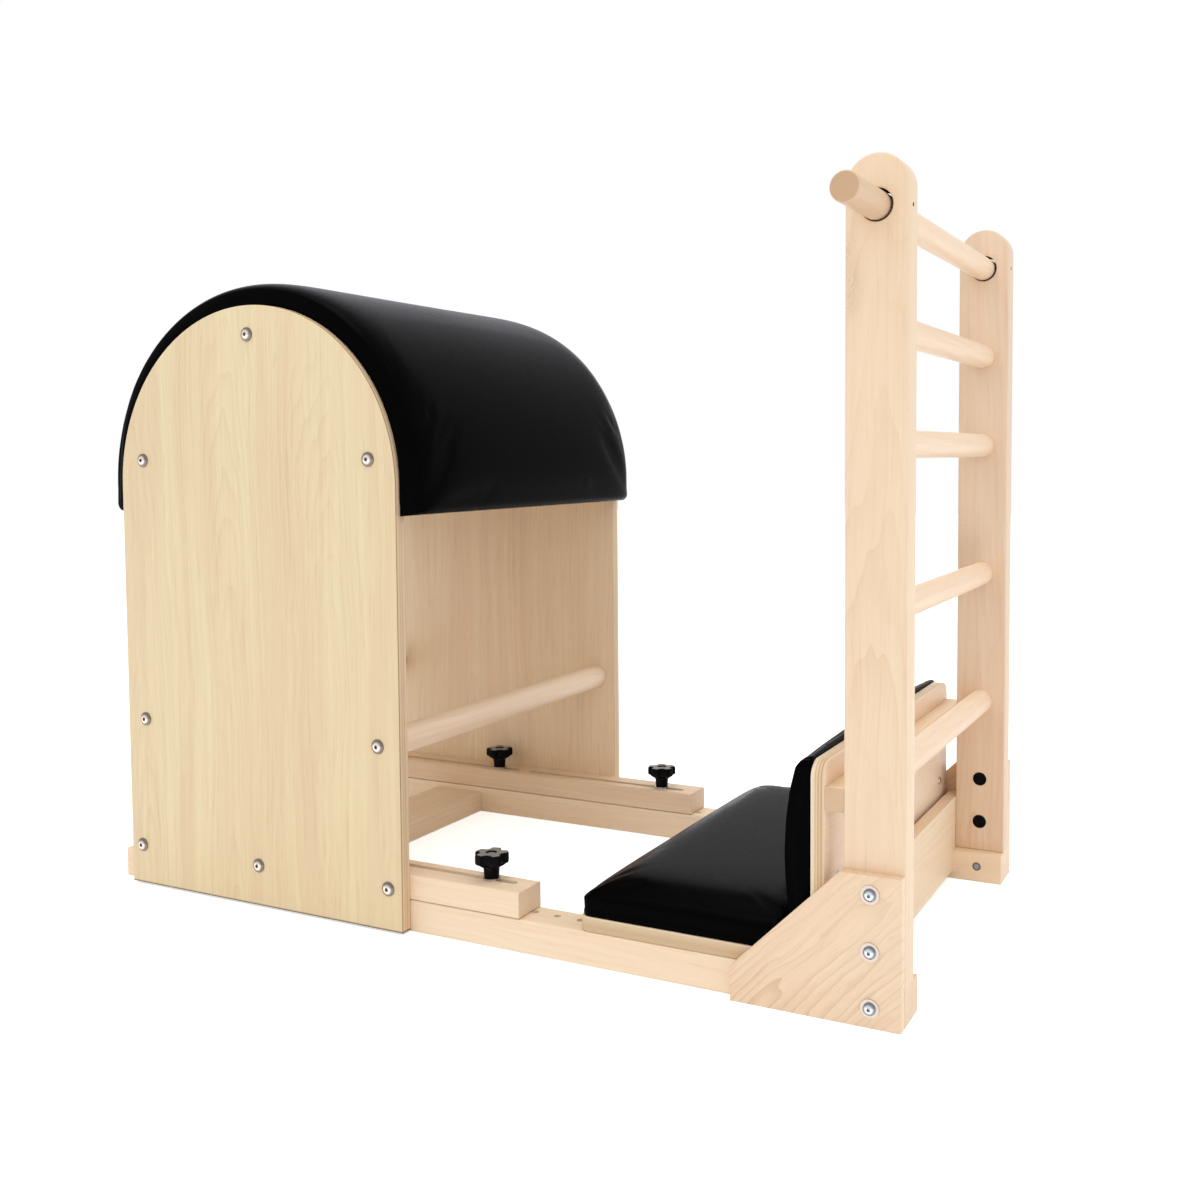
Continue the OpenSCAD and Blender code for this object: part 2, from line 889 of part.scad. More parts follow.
// Pad on the foot board, in front of the back pad
module foot_pad() {
    length = back_board_x - back_pad_thickness + pad_overlap - foot_board_x;
    color(vinyl)
        translate([foot_board_x + length / 2, 0, foot_board_top])
            cushion(
                length, 2 * board_half, foot_pad_thickness, foot_pad_side,
                foot_board_corner, foot_pad_curve
            );
}

// Pad on the back board; its foot stands on the foot board
module back_pad() {
    foot = foot_board_top + soft_gap;
    height = back_board_top + back_pad_overlap - foot;
    color(vinyl)
        translate([back_board_x, 0, foot + height / 2])
            rotate([0, -90, 0])
                cushion(
                    height, 2 * (board_half - back_pad_inset), back_pad_thickness,
                    pad_side, back_pad_corner, back_pad_curve, back_pad_rise
                );
}

// Barrel

// Left side panel with a round arch on top and eight bolt holes
module side_panel() {
    difference() {
        translate([panel_x, panel_outer, 0])
            rotate([90, 0, 0])
                linear_extrude(height = panel_thickness) {
                    translate([-arch_radius, panel_floor_gap])
                        square([panel_width, arch_height - panel_floor_gap]);
                    translate([0, arch_height]) circle(r = arch_radius);
                }
        for (p = panel_bolt_places) {
            rod_y(
                panel_x + p[0], panel_inner - cut, p[1],
                bolt_shank + fit_gap, panel_thickness + 2 * cut
            );
        }
    }
}

module side_panel_left() {
    color(plywood) side_panel();
}

module side_panel_right() {
    color(plywood) mirror([0, 1, 0]) side_panel();
}

// Bores for the sleeves of the panel bolts, in both ends or sides of a piece
module sleeve_bores(numbers) {
    both_sides() {
        for (i = numbers) {
            p = panel_bolt_places[i];
            rod_y(
                panel_x + p[0], panel_inner + cut, p[1],
                sleeve_radius + fit_gap, sleeve_length + cut, -1
            );
        }
    }
}

// Left slotted beam, which rests on the rail and carries the side panel
module slide_beam() {
    difference() {
        translate([panel_back_x, panel_inner - rail_width / 2, beam_foot])
            bar_x(beam_length, rail_width, beam_height, edge_round);
        for (end_x = slot_front_ends) {
            translate([end_x - slot_length / 2, knob_line, beam_foot - cut])
                linear_extrude(height = beam_height + 2 * cut)
                    slot_outline(slot_length, slot_width);
        }
        sleeve_bores([5, 6, 7]);
    }
}

module slide_beam_left() {
    color(maple) slide_beam();
}

module slide_beam_right() {
    color(maple) mirror([0, 1, 0]) slide_beam();
}

// Arch with straight legs, as a shape in X and Z, between two radii
module arch_band(inner, outer, leg) {
    difference() {
        union() {
            circle(r = outer, $fn = 180);
            translate([-outer, -leg]) square([2 * outer, leg]);
        }
        circle(r = inner, $fn = 180);
        translate([-inner, -leg - cut]) square([2 * inner, leg + cut]);
        translate([-2 * outer, -leg - 2 * outer]) square([4 * outer, 2 * outer]);
    }
}

module barrel_shell() {
    color(plywood)
        translate([panel_x, panel_inner, arch_height])
            rotate([90, 0, 0])
                linear_extrude(height = 2 * panel_inner)
                    arch_band(shell_inner, shell_outer, pad_skirt - pad_hem);
}

// Section of the barrel's pad across its width: flat on the shell, lapping over
// both panels' edges, upright at its rims and swelling from there to its full
// thickness by the square root of 1 - |v| to the power pad_swell
module pad_section() {
    crown = barrel_pad_thickness - pad_rim;
    lap_radius = arch_radius + soft_gap;
    outside = [
        for (i = [-pad_steps:pad_steps])
            let(v = sin(90 * i / pad_steps))
            [pad_inner + pad_rim + crown * sqrt(1 - pow(abs(v), pad_swell)), v * pad_end]
    ];
    polygon(concat(
        outside,
        [
            [lap_radius, pad_end], [lap_radius, pad_half],
            [pad_inner, pad_half], [pad_inner, -pad_half],
            [lap_radius, -pad_half], [lap_radius, -pad_end]
        ]
    ));
}

// Straight side of the pad below the arch's centre, with a rounded hem
module pad_leg() {
    hem = pad_hem;
    intersection() {
        translate([0, 0, -pad_skirt]) linear_extrude(height = pad_skirt + cut) pad_section();
        rotate([90, 0, 0])
            translate([0, 0, -pad_end - cut])
                linear_extrude(height = 2 * (pad_end + cut)) {
                    translate([pad_inner, -pad_skirt])
                        square([barrel_pad_thickness - hem, pad_skirt]);
                    translate([pad_inner, -pad_skirt + hem])
                        square([barrel_pad_thickness, pad_skirt - hem]);
                    translate([pad_outer - hem, -pad_skirt + hem]) circle(r = hem);
                }
    }
}

// Pad bent over the barrel, with upright rims and straight sides
module barrel_pad() {
    color(vinyl)
        translate([panel_x, 0, arch_height]) {
            rotate([90, 0, 0])
                rotate_extrude(angle = 180, $fn = 180) pad_section();
            pad_leg();
            mirror([1, 0, 0]) pad_leg();
        }
}

// Slat between the panels: bolted at slat_radius, its outer corners on the shell
module slat(angle, numbers) {
    color(maple) difference() {
        translate([panel_x, 0, arch_height])
            rotate([0, -angle, 0])
                translate([slat_radius, 0, 0])
                    bar_y(2 * panel_inner, slat_depth, slat_width, thin_round);
        sleeve_bores(numbers);
    }
}

module slat_top() {
    slat(90, [0]);
}

module slat_front() {
    slat(slat_angle, [2]);
}

module slat_rear() {
    slat(180 - slat_angle, [1]);
}

module crossbar(side, numbers) {
    color(maple) difference() {
        rod_y(
            panel_x + side * crossbar_offset, -panel_inner, crossbar_height,
            crossbar_diameter / 2, 2 * panel_inner
        );
        sleeve_bores(numbers);
    }
}

module crossbar_front() {
    crossbar(1, [4]);
}

module crossbar_rear() {
    crossbar(-1, [3]);
}

module panel_bolts() {
    color(nickel) both_sides() {
        for (p = panel_bolt_places) {
            translate([panel_x + p[0], panel_outer, p[1]])
                rotate([-90, 0, 0]) domed_head(panel_head_radius, panel_head_height);
            rod_y(
                panel_x + p[0], panel_outer, p[1],
                bolt_shank, panel_thickness + sleeve_length - 1, -1
            );
        }
    }
}

module panel_inserts() {
    color(nickel) both_sides() {
        for (p = panel_bolt_places) {
            difference() {
                rod_y(panel_x + p[0], panel_inner, p[1], sleeve_radius, sleeve_length, -1);
                rod_y(
                    panel_x + p[0], panel_inner + cut, p[1],
                    bolt_shank + fit_gap, sleeve_length + 2 * cut, -1
                );
            }
        }
    }
}

// Knobs

// Outline of the star-shaped head: a disc with a round bite between two lobes
module star_outline() {
    difference() {
        circle(d = knob_diameter);
        for (i = [0:knob_lobes - 1]) {
            rotate((i + 1 / 2) * 360 / knob_lobes)
                translate([knob_diameter / 2 + bite_radius - bite_depth, 0])
                    circle(r = bite_radius);
        }
    }
}

// Disc with a rounded upper edge and a flare below, which shapes the head
module knob_envelope() {
    radius = knob_diameter / 2;
    foot_radius = hub_diameter / 2 + hub_flare;
    rotate_extrude() {
        polygon([
            [0, 0], [foot_radius, 0], [radius - knob_edge, knob_flare],
            [radius, knob_flare + knob_edge], [radius, knob_head - knob_edge],
            [radius - knob_edge, knob_head - knob_edge], [radius - knob_edge, knob_head],
            [0, knob_head]
        ]);
        translate([radius - knob_edge, knob_head - knob_edge]) circle(r = knob_edge);
    }
}

module star_knob(number) {
    place = knob_places[number - 1];
    color(plastic)
        translate([place[0], place[1], hub_foot])
            difference() {
                union() {
                    cylinder(d1 = hub_diameter, d2 = hub_diameter + hub_flare, h = knob_hub);
                    translate([0, 0, knob_hub])
                        intersection() {
                            rotate(knob_turns[number - 1])
                                linear_extrude(height = knob_head) star_outline();
                            knob_envelope();
                        }
                }
                translate([0, 0, knob_hub + knob_head - dimple_depth])
                    cylinder(r = dimple_radius, h = dimple_depth + cut);
                translate([0, 0, -cut]) cylinder(d = stud_diameter, h = stud_in_hub + cut);
            }
}

module stud(number) {
    place = knob_places[number - 1];
    color(nickel)
        translate([place[0], place[1], stud_foot])
            cylinder(d = stud_diameter, h = hub_foot + stud_in_hub - stud_foot);
}

module clamp_washer(number) {
    place = knob_places[number - 1];
    color(nickel)
        translate([place[0], place[1], washer_foot])
            difference() {
                cylinder(r = hub_diameter / 2 + washer_overhang, h = washer_height);
                translate([0, 0, -cut])
                    cylinder(r = stud_diameter / 2 + washer_play, h = washer_height + 2 * cut);
            }
}

module knob_1() {
    star_knob(1);
}

module knob_2() {
    star_knob(2);
}

module knob_3() {
    star_knob(3);
}

module knob_4() {
    star_knob(4);
}

module stud_1() {
    stud(1);
}

module stud_2() {
    stud(2);
}

module stud_3() {
    stud(3);
}

module stud_4() {
    stud(4);
}

module clamp_washer_1() {
    clamp_washer(1);
}

module clamp_washer_2() {
    clamp_washer(2);
}

module clamp_washer_3() {
    clamp_washer(3);
}

module clamp_washer_4() {
    clamp_washer(4);
}

base_rail_right();
base_rail_left();
rear_cross_board();
ladder_cross_board();
upright_right();
upright_left();
gusset_right();
gusset_left();
handle_bar();
rung_1();
rung_2();
rung_3();
rung_4();
back_beam();
back_board();
back_pad();
foot_board();
foot_pad();
gusset_bolts();
gusset_washers();
gusset_nuts();
upright_caps();
set_screws();
rail_inserts();
foot_board_screws();
back_board_screws();
cross_board_screws();
back_pad_bolts();
side_panel_right();
side_panel_left();
slide_beam_right();
slide_beam_left();
barrel_shell();
barrel_pad();
slat_top();
slat_front();
slat_rear();
crossbar_front();
crossbar_rear();
panel_bolts();
panel_inserts();
knob_1();
knob_2();
knob_3();
knob_4();
stud_1();
stud_2();
stud_3();
stud_4();
clamp_washer_1();
clamp_washer_2();
clamp_washer_3();
clamp_washer_4();
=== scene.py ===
import math

import bmesh
import bpy
import numpy as np
from mathutils import Matrix, Vector
from mathutils.geometry import tessellate_polygon


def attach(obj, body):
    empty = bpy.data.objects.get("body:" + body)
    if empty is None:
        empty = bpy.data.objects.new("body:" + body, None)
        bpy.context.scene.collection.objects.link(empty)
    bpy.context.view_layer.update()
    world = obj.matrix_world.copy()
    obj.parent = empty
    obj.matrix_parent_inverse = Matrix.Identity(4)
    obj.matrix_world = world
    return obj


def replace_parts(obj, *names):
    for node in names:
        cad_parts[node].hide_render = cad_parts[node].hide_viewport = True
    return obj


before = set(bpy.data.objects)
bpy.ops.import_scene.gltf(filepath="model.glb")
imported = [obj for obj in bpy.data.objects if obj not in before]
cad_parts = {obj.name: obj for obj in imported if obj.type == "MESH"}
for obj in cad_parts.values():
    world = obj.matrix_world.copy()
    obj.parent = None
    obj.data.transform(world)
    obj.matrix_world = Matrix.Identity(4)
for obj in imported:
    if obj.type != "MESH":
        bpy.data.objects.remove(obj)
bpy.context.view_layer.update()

# One millimetre in metres, which are Blender's unit here
MM = 0.001

# Real sizes in millimetres, as in the part's own source: x runs from barrel to ladder, z up
RAIL_TOP = 45
RAIL_OUTER = 301
UPRIGHT_X = 590.75
UPRIGHT_WIDTH = 73.5
UPRIGHT_THICKNESS = 38.5
UPRIGHT_TOP = 999
HANDLE_HEIGHT = 941
HANDLE_HOLE = 18.6
SCREW_HOLE = 2.55
SCREW_DEPTH = 14
GUSSET_X = 627.5
GUSSET_LENGTH = 212
GUSSET_HEIGHT = 179
GUSSET_NOSE = 43
GUSSET_THICKNESS = 16
PANEL_X = -332.5
PANEL_INNER = 301.5
PANEL_OUTER = 320.5
PANEL_FOOT = 3
ARCH_RADIUS = 260
ARCH_HEIGHT = 620
BOARD_HALF = 300
FOOT_BOARD_X = 195.5
FOOT_CORNER = 14
BACK_BOARD_X = 512.5
BACK_THICKNESS = 18
BACK_TOP = 300
BACK_CORNER = 22
SEAT_TOP = 65

# Radius of the rounded arrises, in millimetres
PANEL_ARRIS = 1.4
BOARD_ARRIS = 1.6
UPRIGHT_ARRIS = 2.0

# How far beyond a bore's radius the middles of its wall's faces may lie, in millimetres
BORE_REACH = 0.3

# New meshes: distance of joined points and length of dropped edges in metres, and the angle
# of crisp edges in degrees
SAME_POINT = 2e-6
NO_LENGTH = 1e-6
SHARP = 40
PAD_SHARP = 60

# Pads, in millimetres; the barrel's sizes are radii about the arch or distances from its middle
FOOT_PAD_LENGTH = 284
FOOT_PAD_HEIGHT = 46
FOOT_PAD_SIDE = 22
BACK_PAD_LENGTH = 237.7
BACK_PAD_HEIGHT = 38
BACK_PAD_SIDE = 10
BACK_PAD_CORNER = 12
BACK_PAD_RISE = 7
BACK_PAD_INSET = 2
PAD_TUCK = 2.2
SEAT_GAP = 0.3
PAD_INNER = 259.3
PAD_LAP = 260.3
PAD_RIM = 281.0
PAD_CROWN = 296.0
PAD_SEAT = 301.2
PAD_END = 311.5
PAD_FOLD = 1.5
PAD_BULGE = 1.2
PAD_SKIRT = 40
PAD_HEM = 12

# Lines of a seat pad's top, along and across
CUSHION_GRID = (72, 144)

# Powers of the seat pads' fullness: at the low end, at the high end and at the sides, and the
# back pad's share of the last
FOOT_FULLNESS = (6, 18, 10)
BACK_FULLNESS = (2, 2, 30, 0.16)

# Filling of the pads by cloth simulation. In metres: the skins' voxels, the most that a point
# moves, and how far from a board a point is held by it.
FILL_FRAMES = 20
FILL_QUALITY = 4
FILL_PRESSURE = 4.0
SEAT_VOXEL = 0.006
SEAT_FILL = 0.003
BARREL_VOXEL = 0.009
BARREL_FILL = 0.002
HELD_REACH = 0.002

# Star knobs, in millimetres, and how each is turned, in degrees: 1 and 2 near, 3 and 4 far
KNOB_FRONT = 39.5
KNOB_REAR = -297.5
KNOB_Y = 266.5
KNOB_FOOT = 83.3
KNOB_RADIUS = 24
KNOB_EDGE = 3
KNOB_LOBES = 5
BITE_RADIUS = 9
BITE_CENTRE = 26.5
HUB_HEIGHT = 14.6
HEAD_HEIGHT = 20
KNOB_TURNS = (33, 10, 44, 52)

# The camera, solved from the photo: place in metres, turn about Z, tilt down and roll in
# degrees, sensor in millimetres, and in the photo's pixels its size, lens and middle's shift
CAMERA_PLACE = (1.01, -1.7108, 0.6613)
CAMERA_TURN = 26.51
CAMERA_TILT = 3.16
CAMERA_ROLL = -0.34
SENSOR = 36.0
PHOTO_SIZE = 1200
FOCAL_LENGTH = 1274.93
SHIFT_RIGHT = -52.2
SHIFT_UP = -74.37

# Patterns, in turns a metre: leather cells of 1.6 mm, spark texture of 0.7 mm, turning marks of
# 1 mm, and the sway of sawn grain, along it and across it, with its reach in metres
LEATHER_CELLS = 620.0
SPARK_TEXTURE = 1400.0
TURNING_MARKS = 900.0
CALM_SWING = (2.2, 9.0, 0.045)

# Knots of the uprights, in metres: places, and the mean spacing of pin knots
NEAR_KNOT = (0.551, -0.301, 0.862)
FAR_KNOT = (0.5695, 0.2625, 0.52)
PIN_KNOTS = 0.16

# Where the domed bolts' crowns begin, and how far the shell's edge colours run along X, in
# millimetres
PANEL_CROWN = 324.7
GUSSET_CROWN = 322.2
SHELL_RAMP = 900

# Studio: half the floor's side in metres, and the share of light that it seems to give
FLOOR_HALF = 12
FLOOR_GLOW = 0.6


# Meshes


def in_scene(name, data):
    """A new object of the scene, which shows the data."""
    made = bpy.data.objects.new(name, data)
    bpy.context.scene.collection.objects.link(made)
    return made


def piece(name, points, faces, material, body, sharp=SHARP):
    """A closed mesh from arrays in millimetres: doubles merged, many-sided caps cut into even
    triangles, normals turned outwards, edges sharper than an angle kept crisp. It rides on a
    body of the frame."""
    mesh = bpy.data.meshes.new(name)
    mesh.from_pydata((np.asarray(points, dtype=float) * MM).tolist(), [],
                     [list(map(int, f)) for f in faces])
    shell = bmesh.new()
    shell.from_mesh(mesh)
    bmesh.ops.remove_doubles(shell, verts=shell.verts, dist=SAME_POINT)
    bmesh.ops.dissolve_degenerate(shell, edges=shell.edges, dist=NO_LENGTH)
    bmesh.ops.triangulate(shell, faces=[face for face in shell.faces if len(face.verts) > 4])
    bmesh.ops.recalc_face_normals(shell, faces=shell.faces)
    shell.to_mesh(mesh)
    shell.free()
    mesh.shade_smooth()
    mesh.set_sharp_from_angle(angle=math.radians(sharp))
    mesh.materials.append(material)
    made = in_scene(name, mesh)
    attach(made, body)
    return made


def strip(rows, columns, wrap=False, first=0):
    """Quads between neighbouring points of a grid; wrap joins its last column to its first."""
    across = np.arange(columns if wrap else columns - 1)
    i = np.arange(rows - 1)[:, None] * columns + first
    j = across[None, :]
    k = (across[None, :] + 1) % columns
    return np.stack([i + j, i + k, i + columns + k, i + columns + j], axis=-1).reshape(-1, 4)


def arc(centre, radius, start, end, steps):
    """Points on a circle from one angle to another, in degrees."""
    a = np.radians(np.linspace(start, end, steps + 1))
    return np.stack([centre[0] + radius * np.cos(a), centre[1] + radius * np.sin(a)], axis=1)


def inward(loop):
    """For each point of a loop, the step that moves both its edges in by one: the sum of the
    edges' left normals over one plus their dot product."""
    edge = np.roll(loop, -1, axis=0) - loop
    edge /= np.linalg.norm(edge, axis=1)[:, None]
    left = np.stack([-edge[:, 1], edge[:, 0]], axis=1)
    before = np.roll(left, 1, axis=0)
    return (left + before) / (1 + np.sum(left * before, axis=1))[:, None]


def board(name, loops, low, high, axes, arris, material, body):
    """A board cut to an outline, with rounded arrises: each loop is carried through the
    thickness from low to high, drawn in at both faces by a quarter circle of radius arris.
    Loops run with the wood on their left. axes says where outline and thickness lie."""
    quarter = np.radians(np.linspace(0, 90, 4))
    inset = np.concatenate([arris * (1 - np.sin(quarter)), arris * (1 - np.cos(quarter))])
    level = np.concatenate([low + arris * (1 - np.cos(quarter)),
                            high - arris * (1 - np.sin(quarter))])
    points, faces, first, ends = [], [], 0, [[], []]
    for loop in loops:
        loop = np.asarray(loop, dtype=float)
        flat = loop[None] + inset[:, None, None] * inward(loop)[None]
        depth = np.broadcast_to(level[:, None, None], flat.shape[:2] + (1,))
        rings = np.concatenate([flat, depth], axis=2)
        points.append(rings.reshape(-1, 3))
        faces.append(strip(len(level), len(loop), wrap=True, first=first))
        for end, row in ((0, 0), (1, len(level) - 1)):
            start = first + row * len(loop)
            ends[end].append(np.arange(start, start + len(loop)))
        first += len(level) * len(loop)
    points = np.concatenate(points)
    faces = [f for part in faces for f in part.tolist()]
    for end in ends:
        index = np.concatenate(end)
        outline = [[Vector((*points[k][:2], 0)) for k in part] for part in end]
        faces += [[index[c] for c in corner] for corner in tessellate_polygon(outline)]
    placed = np.empty_like(points)
    for column, axis in enumerate(axes):
        placed[:, "xyz".index(axis)] = points[:, column]
    return piece(name, placed, faces, material, body)


def turned(name, profile, centre, lobes, material, body, steps=120):
    """A turned form about an upright axis: each row of the profile is (radius, height, lobe
    share). Its radius is swept round the axis, and the lobe share turns it into that part of
    the lobes' own radius where the lobes are narrower."""
    around = np.radians(np.arange(steps) * 360 / steps)
    profile = np.asarray(profile, dtype=float)
    radius = np.broadcast_to(profile[:, 0, None], (len(profile), steps))
    cut = lobes(around)[None, :] + profile[:, 0, None] - lobes(around).max()
    own = np.minimum(radius, np.maximum(cut, 0))
    radius = radius + profile[:, 2, None] * (own - radius)
    height = np.broadcast_to(profile[:, 1, None], radius.shape)
    points = np.stack([radius * np.cos(around), radius * np.sin(around), height], axis=-1)
    points = points.reshape(-1, 3) + np.asarray(centre, dtype=float)
    return piece(name, points, strip(len(profile), steps, wrap=True), material, body)


def applied(made):
    """Gives a piece the mesh that its modifiers make, and removes them."""
    ready = made.evaluated_get(bpy.context.evaluated_depsgraph_get())
    mesh = bpy.data.meshes.new_from_object(ready)
    made.modifiers.clear()
    made.data = mesh


def drilled(made, centre, radius, depth, steps=24):
    """A round hole along X, whose open end is at centre and whose floor is depth behind it. The
    bit stands 2 mm out of the wood."""
    around = np.radians(np.arange(steps) * 360 / steps)
    ring = np.stack([np.zeros(steps), radius * np.cos(around), radius * np.sin(around)], axis=1)
    points = np.concatenate([ring + centre + [2, 0, 0], ring + centre - [depth, 0, 0]])
    faces = strip(2, steps, wrap=True).tolist()
    faces += [list(range(steps)), list(range(steps, 2 * steps))]
    bit = piece("drill", points, faces, bore, "base")
    bpy.context.view_layer.update()
    cut = made.modifiers.new("hole", "BOOLEAN")
    cut.operation, cut.solver, cut.object = "DIFFERENCE", "EXACT", bit
    cut.material_mode = "TRANSFER"
    applied(made)
    bpy.data.objects.remove(bit)
    made.data.set_sharp_from_angle(angle=math.radians(SHARP))


# Materials


def linear(code):
    """An sRGB hex colour as linear red, green, blue and full alpha."""
    channels = [int(code[i:i + 2], 16) / 255 for i in (1, 3, 5)]
    return [c / 12.92 if c <= 0.04045 else ((c + 0.055) / 1.055) ** 2.4 for c in channels] + [1.0]


def put(tree, kind, inputs=None, stops=None, **settings):
    """Adds a node: settings are its properties, stops the colours of a ramp, and inputs its
    sockets' values, hex colours or links. A node given as an input links its first output."""
    node = tree.nodes.new(kind)
    for key, value in settings.items():
        setattr(node, key, value)
    for key, value in (inputs or {}).items():
        if isinstance(value, bpy.types.Node):
            value = value.outputs[0]
        if isinstance(value, bpy.types.NodeSocket):
            tree.links.new(value, node.inputs[key])
        else:
            node.inputs[key].default_value = linear(value) if isinstance(value, str) else value
    if stops:
        ramp = node.color_ramp
        while len(ramp.elements) < len(stops):
            ramp.elements.new(0.5)
        for element, (position, colour) in zip(ramp.elements, stops):
            element.position = position
            element.color = linear(colour)
    return node


def new_material(name):
    """An empty node material with its tree."""
    made = bpy.data.materials.new(name)
    made.use_nodes = True
    made.node_tree.nodes.clear()
    return made, made.node_tree


def coats(tree, colour, *layers):
    """Lays colours over a colour, one after another, each by its own share."""
    for share, layer in layers:
        colour = put(tree, "ShaderNodeMix", {0: share, 6: colour, 7: layer},
                     data_type="RGBA").outputs[2]
    return colour


def weigh(tree, values, weights, shift=0.0):
    """Sum of values times weights, plus a shift."""
    total = shift
    for value, weight in zip(values, weights):
        total = put(tree, "ShaderNodeMath", {0: value, 1: weight, 2: total},
                    operation="MULTIPLY_ADD")
    return total


def along_axis(tree, kind, axis, unsigned=False):
    """The surface's place in metres (kind Object) or its facing (kind Normal) along an axis,
    with its sign or without."""
    part = put(tree, "ShaderNodeSeparateXYZ", {
        0: put(tree, "ShaderNodeTexCoord").outputs[kind]}).outputs["XYZ".index(axis)]
    if unsigned:
        part = put(tree, "ShaderNodeMath", {0: part}, operation="ABSOLUTE")
    return part


def facing(tree, axis, low, high):
    """1 where the surface faces along an axis, 0 where it doesn't."""
    return put(tree, "ShaderNodeMapRange", {
        0: along_axis(tree, "Normal", axis, True), 1: low, 2: high})


def stretched(tree, where, axis, along, across, low, high, detail=3.0):
    """Noise drawn out along the grain, stretched from low to high to a share: along and across
    are its turns a metre."""
    scale = [along if a == axis else across for a in "XYZ"]
    narrow = put(tree, "ShaderNodeMapping", {"Vector": where, "Scale": scale})
    noise = put(tree, "ShaderNodeTexNoise",
                {"Vector": narrow, "Scale": 1.0, "Detail": detail, "Roughness": 0.6})
    return put(tree, "ShaderNodeMapRange", {0: noise, 1: low, 2: high})


def figure(tree, axis, leaf, ring, lean, depth, shift, swing=CALM_SWING, turn=0):
    """A flat-sawn board's figure in object space, in metres. Its growth rings are cylinders
    round a pith line that leans from the face, so that the face cuts them in long pointed
    arches, one row to each leaf of wood: the line's distance over the rings' spacing, its
    fraction cubed. swing says how the grain sways: turns a metre along it and across it, and
    how far; turn is a slant of the grain about Y, in degrees. Tone, hairlines and flecks are
    noise drawn out along the grain."""
    where = put(tree, "ShaderNodeMapping", {
        "Vector": put(tree, "ShaderNodeTexCoord").outputs["Object"],
        "Rotation": (0, math.radians(turn), 0)})
    slow = put(tree, "ShaderNodeMapping",
               {"Vector": where, "Scale": [swing[0] if a == axis else swing[1] for a in "XYZ"]})
    drift = put(tree, "ShaderNodeTexNoise",
                {"Vector": slow, "Scale": 1.0, "Detail": 3.0, "Roughness": 0.5})
    offset = put(tree, "ShaderNodeVectorMath",
                 {0: drift.outputs["Color"], 1: (-0.5, -0.5, -0.5)}, operation="ADD")
    sway = put(tree, "ShaderNodeVectorMath", {0: offset, "Scale": swing[2]}, operation="SCALE")
    bent = put(tree, "ShaderNodeVectorMath", {0: where, 1: sway}, operation="ADD")
    parts = put(tree, "ShaderNodeSeparateXYZ", {0: bent}).outputs
    along = parts["XYZ".index(axis)]
    beside, below = [parts[i] for i in range(3) if i != "XYZ".index(axis)]
    beside = put(tree, "ShaderNodeMath", {0: beside, 1: shift}, operation="ADD")
    beside = put(tree, "ShaderNodeMath", {0: beside, 1: leaf / 2, 2: -leaf / 2}, operation="WRAP")
    below = put(tree, "ShaderNodeMath", {0: below}, operation="ABSOLUTE")
    below = weigh(tree, (along, below), (lean, 1.0), depth)
    reach = put(tree, "ShaderNodeCombineXYZ", {0: beside, 1: below})
    reach = put(tree, "ShaderNodeVectorMath", {0: reach}, operation="LENGTH")
    count = put(tree, "ShaderNodeMath", {0: reach.outputs["Value"], 1: 1 / ring},
                operation="MULTIPLY")
    grown = put(tree, "ShaderNodeMath", {0: count}, operation="FRACT")
    late = put(tree, "ShaderNodeMath", {0: grown, 1: 3.0}, operation="POWER")
    strong = stretched(tree, where, axis, 2.0, 7.0, 0.40, 0.62, 1.0)
    late = put(tree, "ShaderNodeMath", {0: late, 1: strong}, operation="MULTIPLY")
    tone = weigh(tree, (stretched(tree, bent, axis, 1.1, 21.0, 0.34, 0.66, 2.0),
                        stretched(tree, bent, axis, 1.7, 150.0, 0.32, 0.68, 2.0)),
                 (0.55, 0.45))
    # Hairlines are 1.5 mm wide and flecks 0.7 mm, coarser than real ones so that they show.
    hairs = stretched(tree, bent, axis, 3.0, 300.0, 0.55, 0.75)
    flecks = stretched(tree, bent, axis, 60.0, 1100.0, 0.56, 0.74)
    return late, tone, hairs, flecks


def knots(tree, spacing):
    """Pin knots: round spots of 2 mm, one to a cell of the given spacing in metres."""
    where = put(tree, "ShaderNodeTexCoord").outputs["Object"]
    cells = put(tree, "ShaderNodeTexVoronoi", {"Vector": where, "Scale": 1 / spacing})
    return put(tree, "ShaderNodeMapRange",
               {0: cells, 1: 0.001 / spacing, 2: 0.0024 / spacing, 3: 1.0, 4: 0.0})


def swirl(tree, at):
    """Grain that flows round a knot: rings of 3 mm about its place, drawn out along Z, whose
    share fades over 35 mm across the grain."""
    where = put(tree, "ShaderNodeTexCoord").outputs["Object"]
    bent = put(tree, "ShaderNodeTexNoise", {"Vector": where, "Scale": 24.0, "Detail": 3.0})
    away = put(tree, "ShaderNodeVectorMath", {0: where, 1: at}, operation="SUBTRACT")
    away = put(tree, "ShaderNodeVectorMath", {0: away, 1: (33.0, 33.0, 20.0)},
               operation="MULTIPLY")
    far = put(tree, "ShaderNodeVectorMath", {0: away}, operation="LENGTH")
    far = weigh(tree, (far.outputs["Value"], bent), (1.0, 1.1), -0.55)
    rings = put(tree, "ShaderNodeMath", {0: weigh(tree, (far,), (10.0,))}, operation="FRACT")
    near = put(tree, "ShaderNodeMapRange", {0: far, 1: 0.25, 2: 1.2, 3: 1.0, 4: 0.0})
    rings = weigh(tree, (rings,), (0.28,), 0.06)
    return put(tree, "ShaderNodeMath", {0: rings, 1: near}, operation="MULTIPLY")


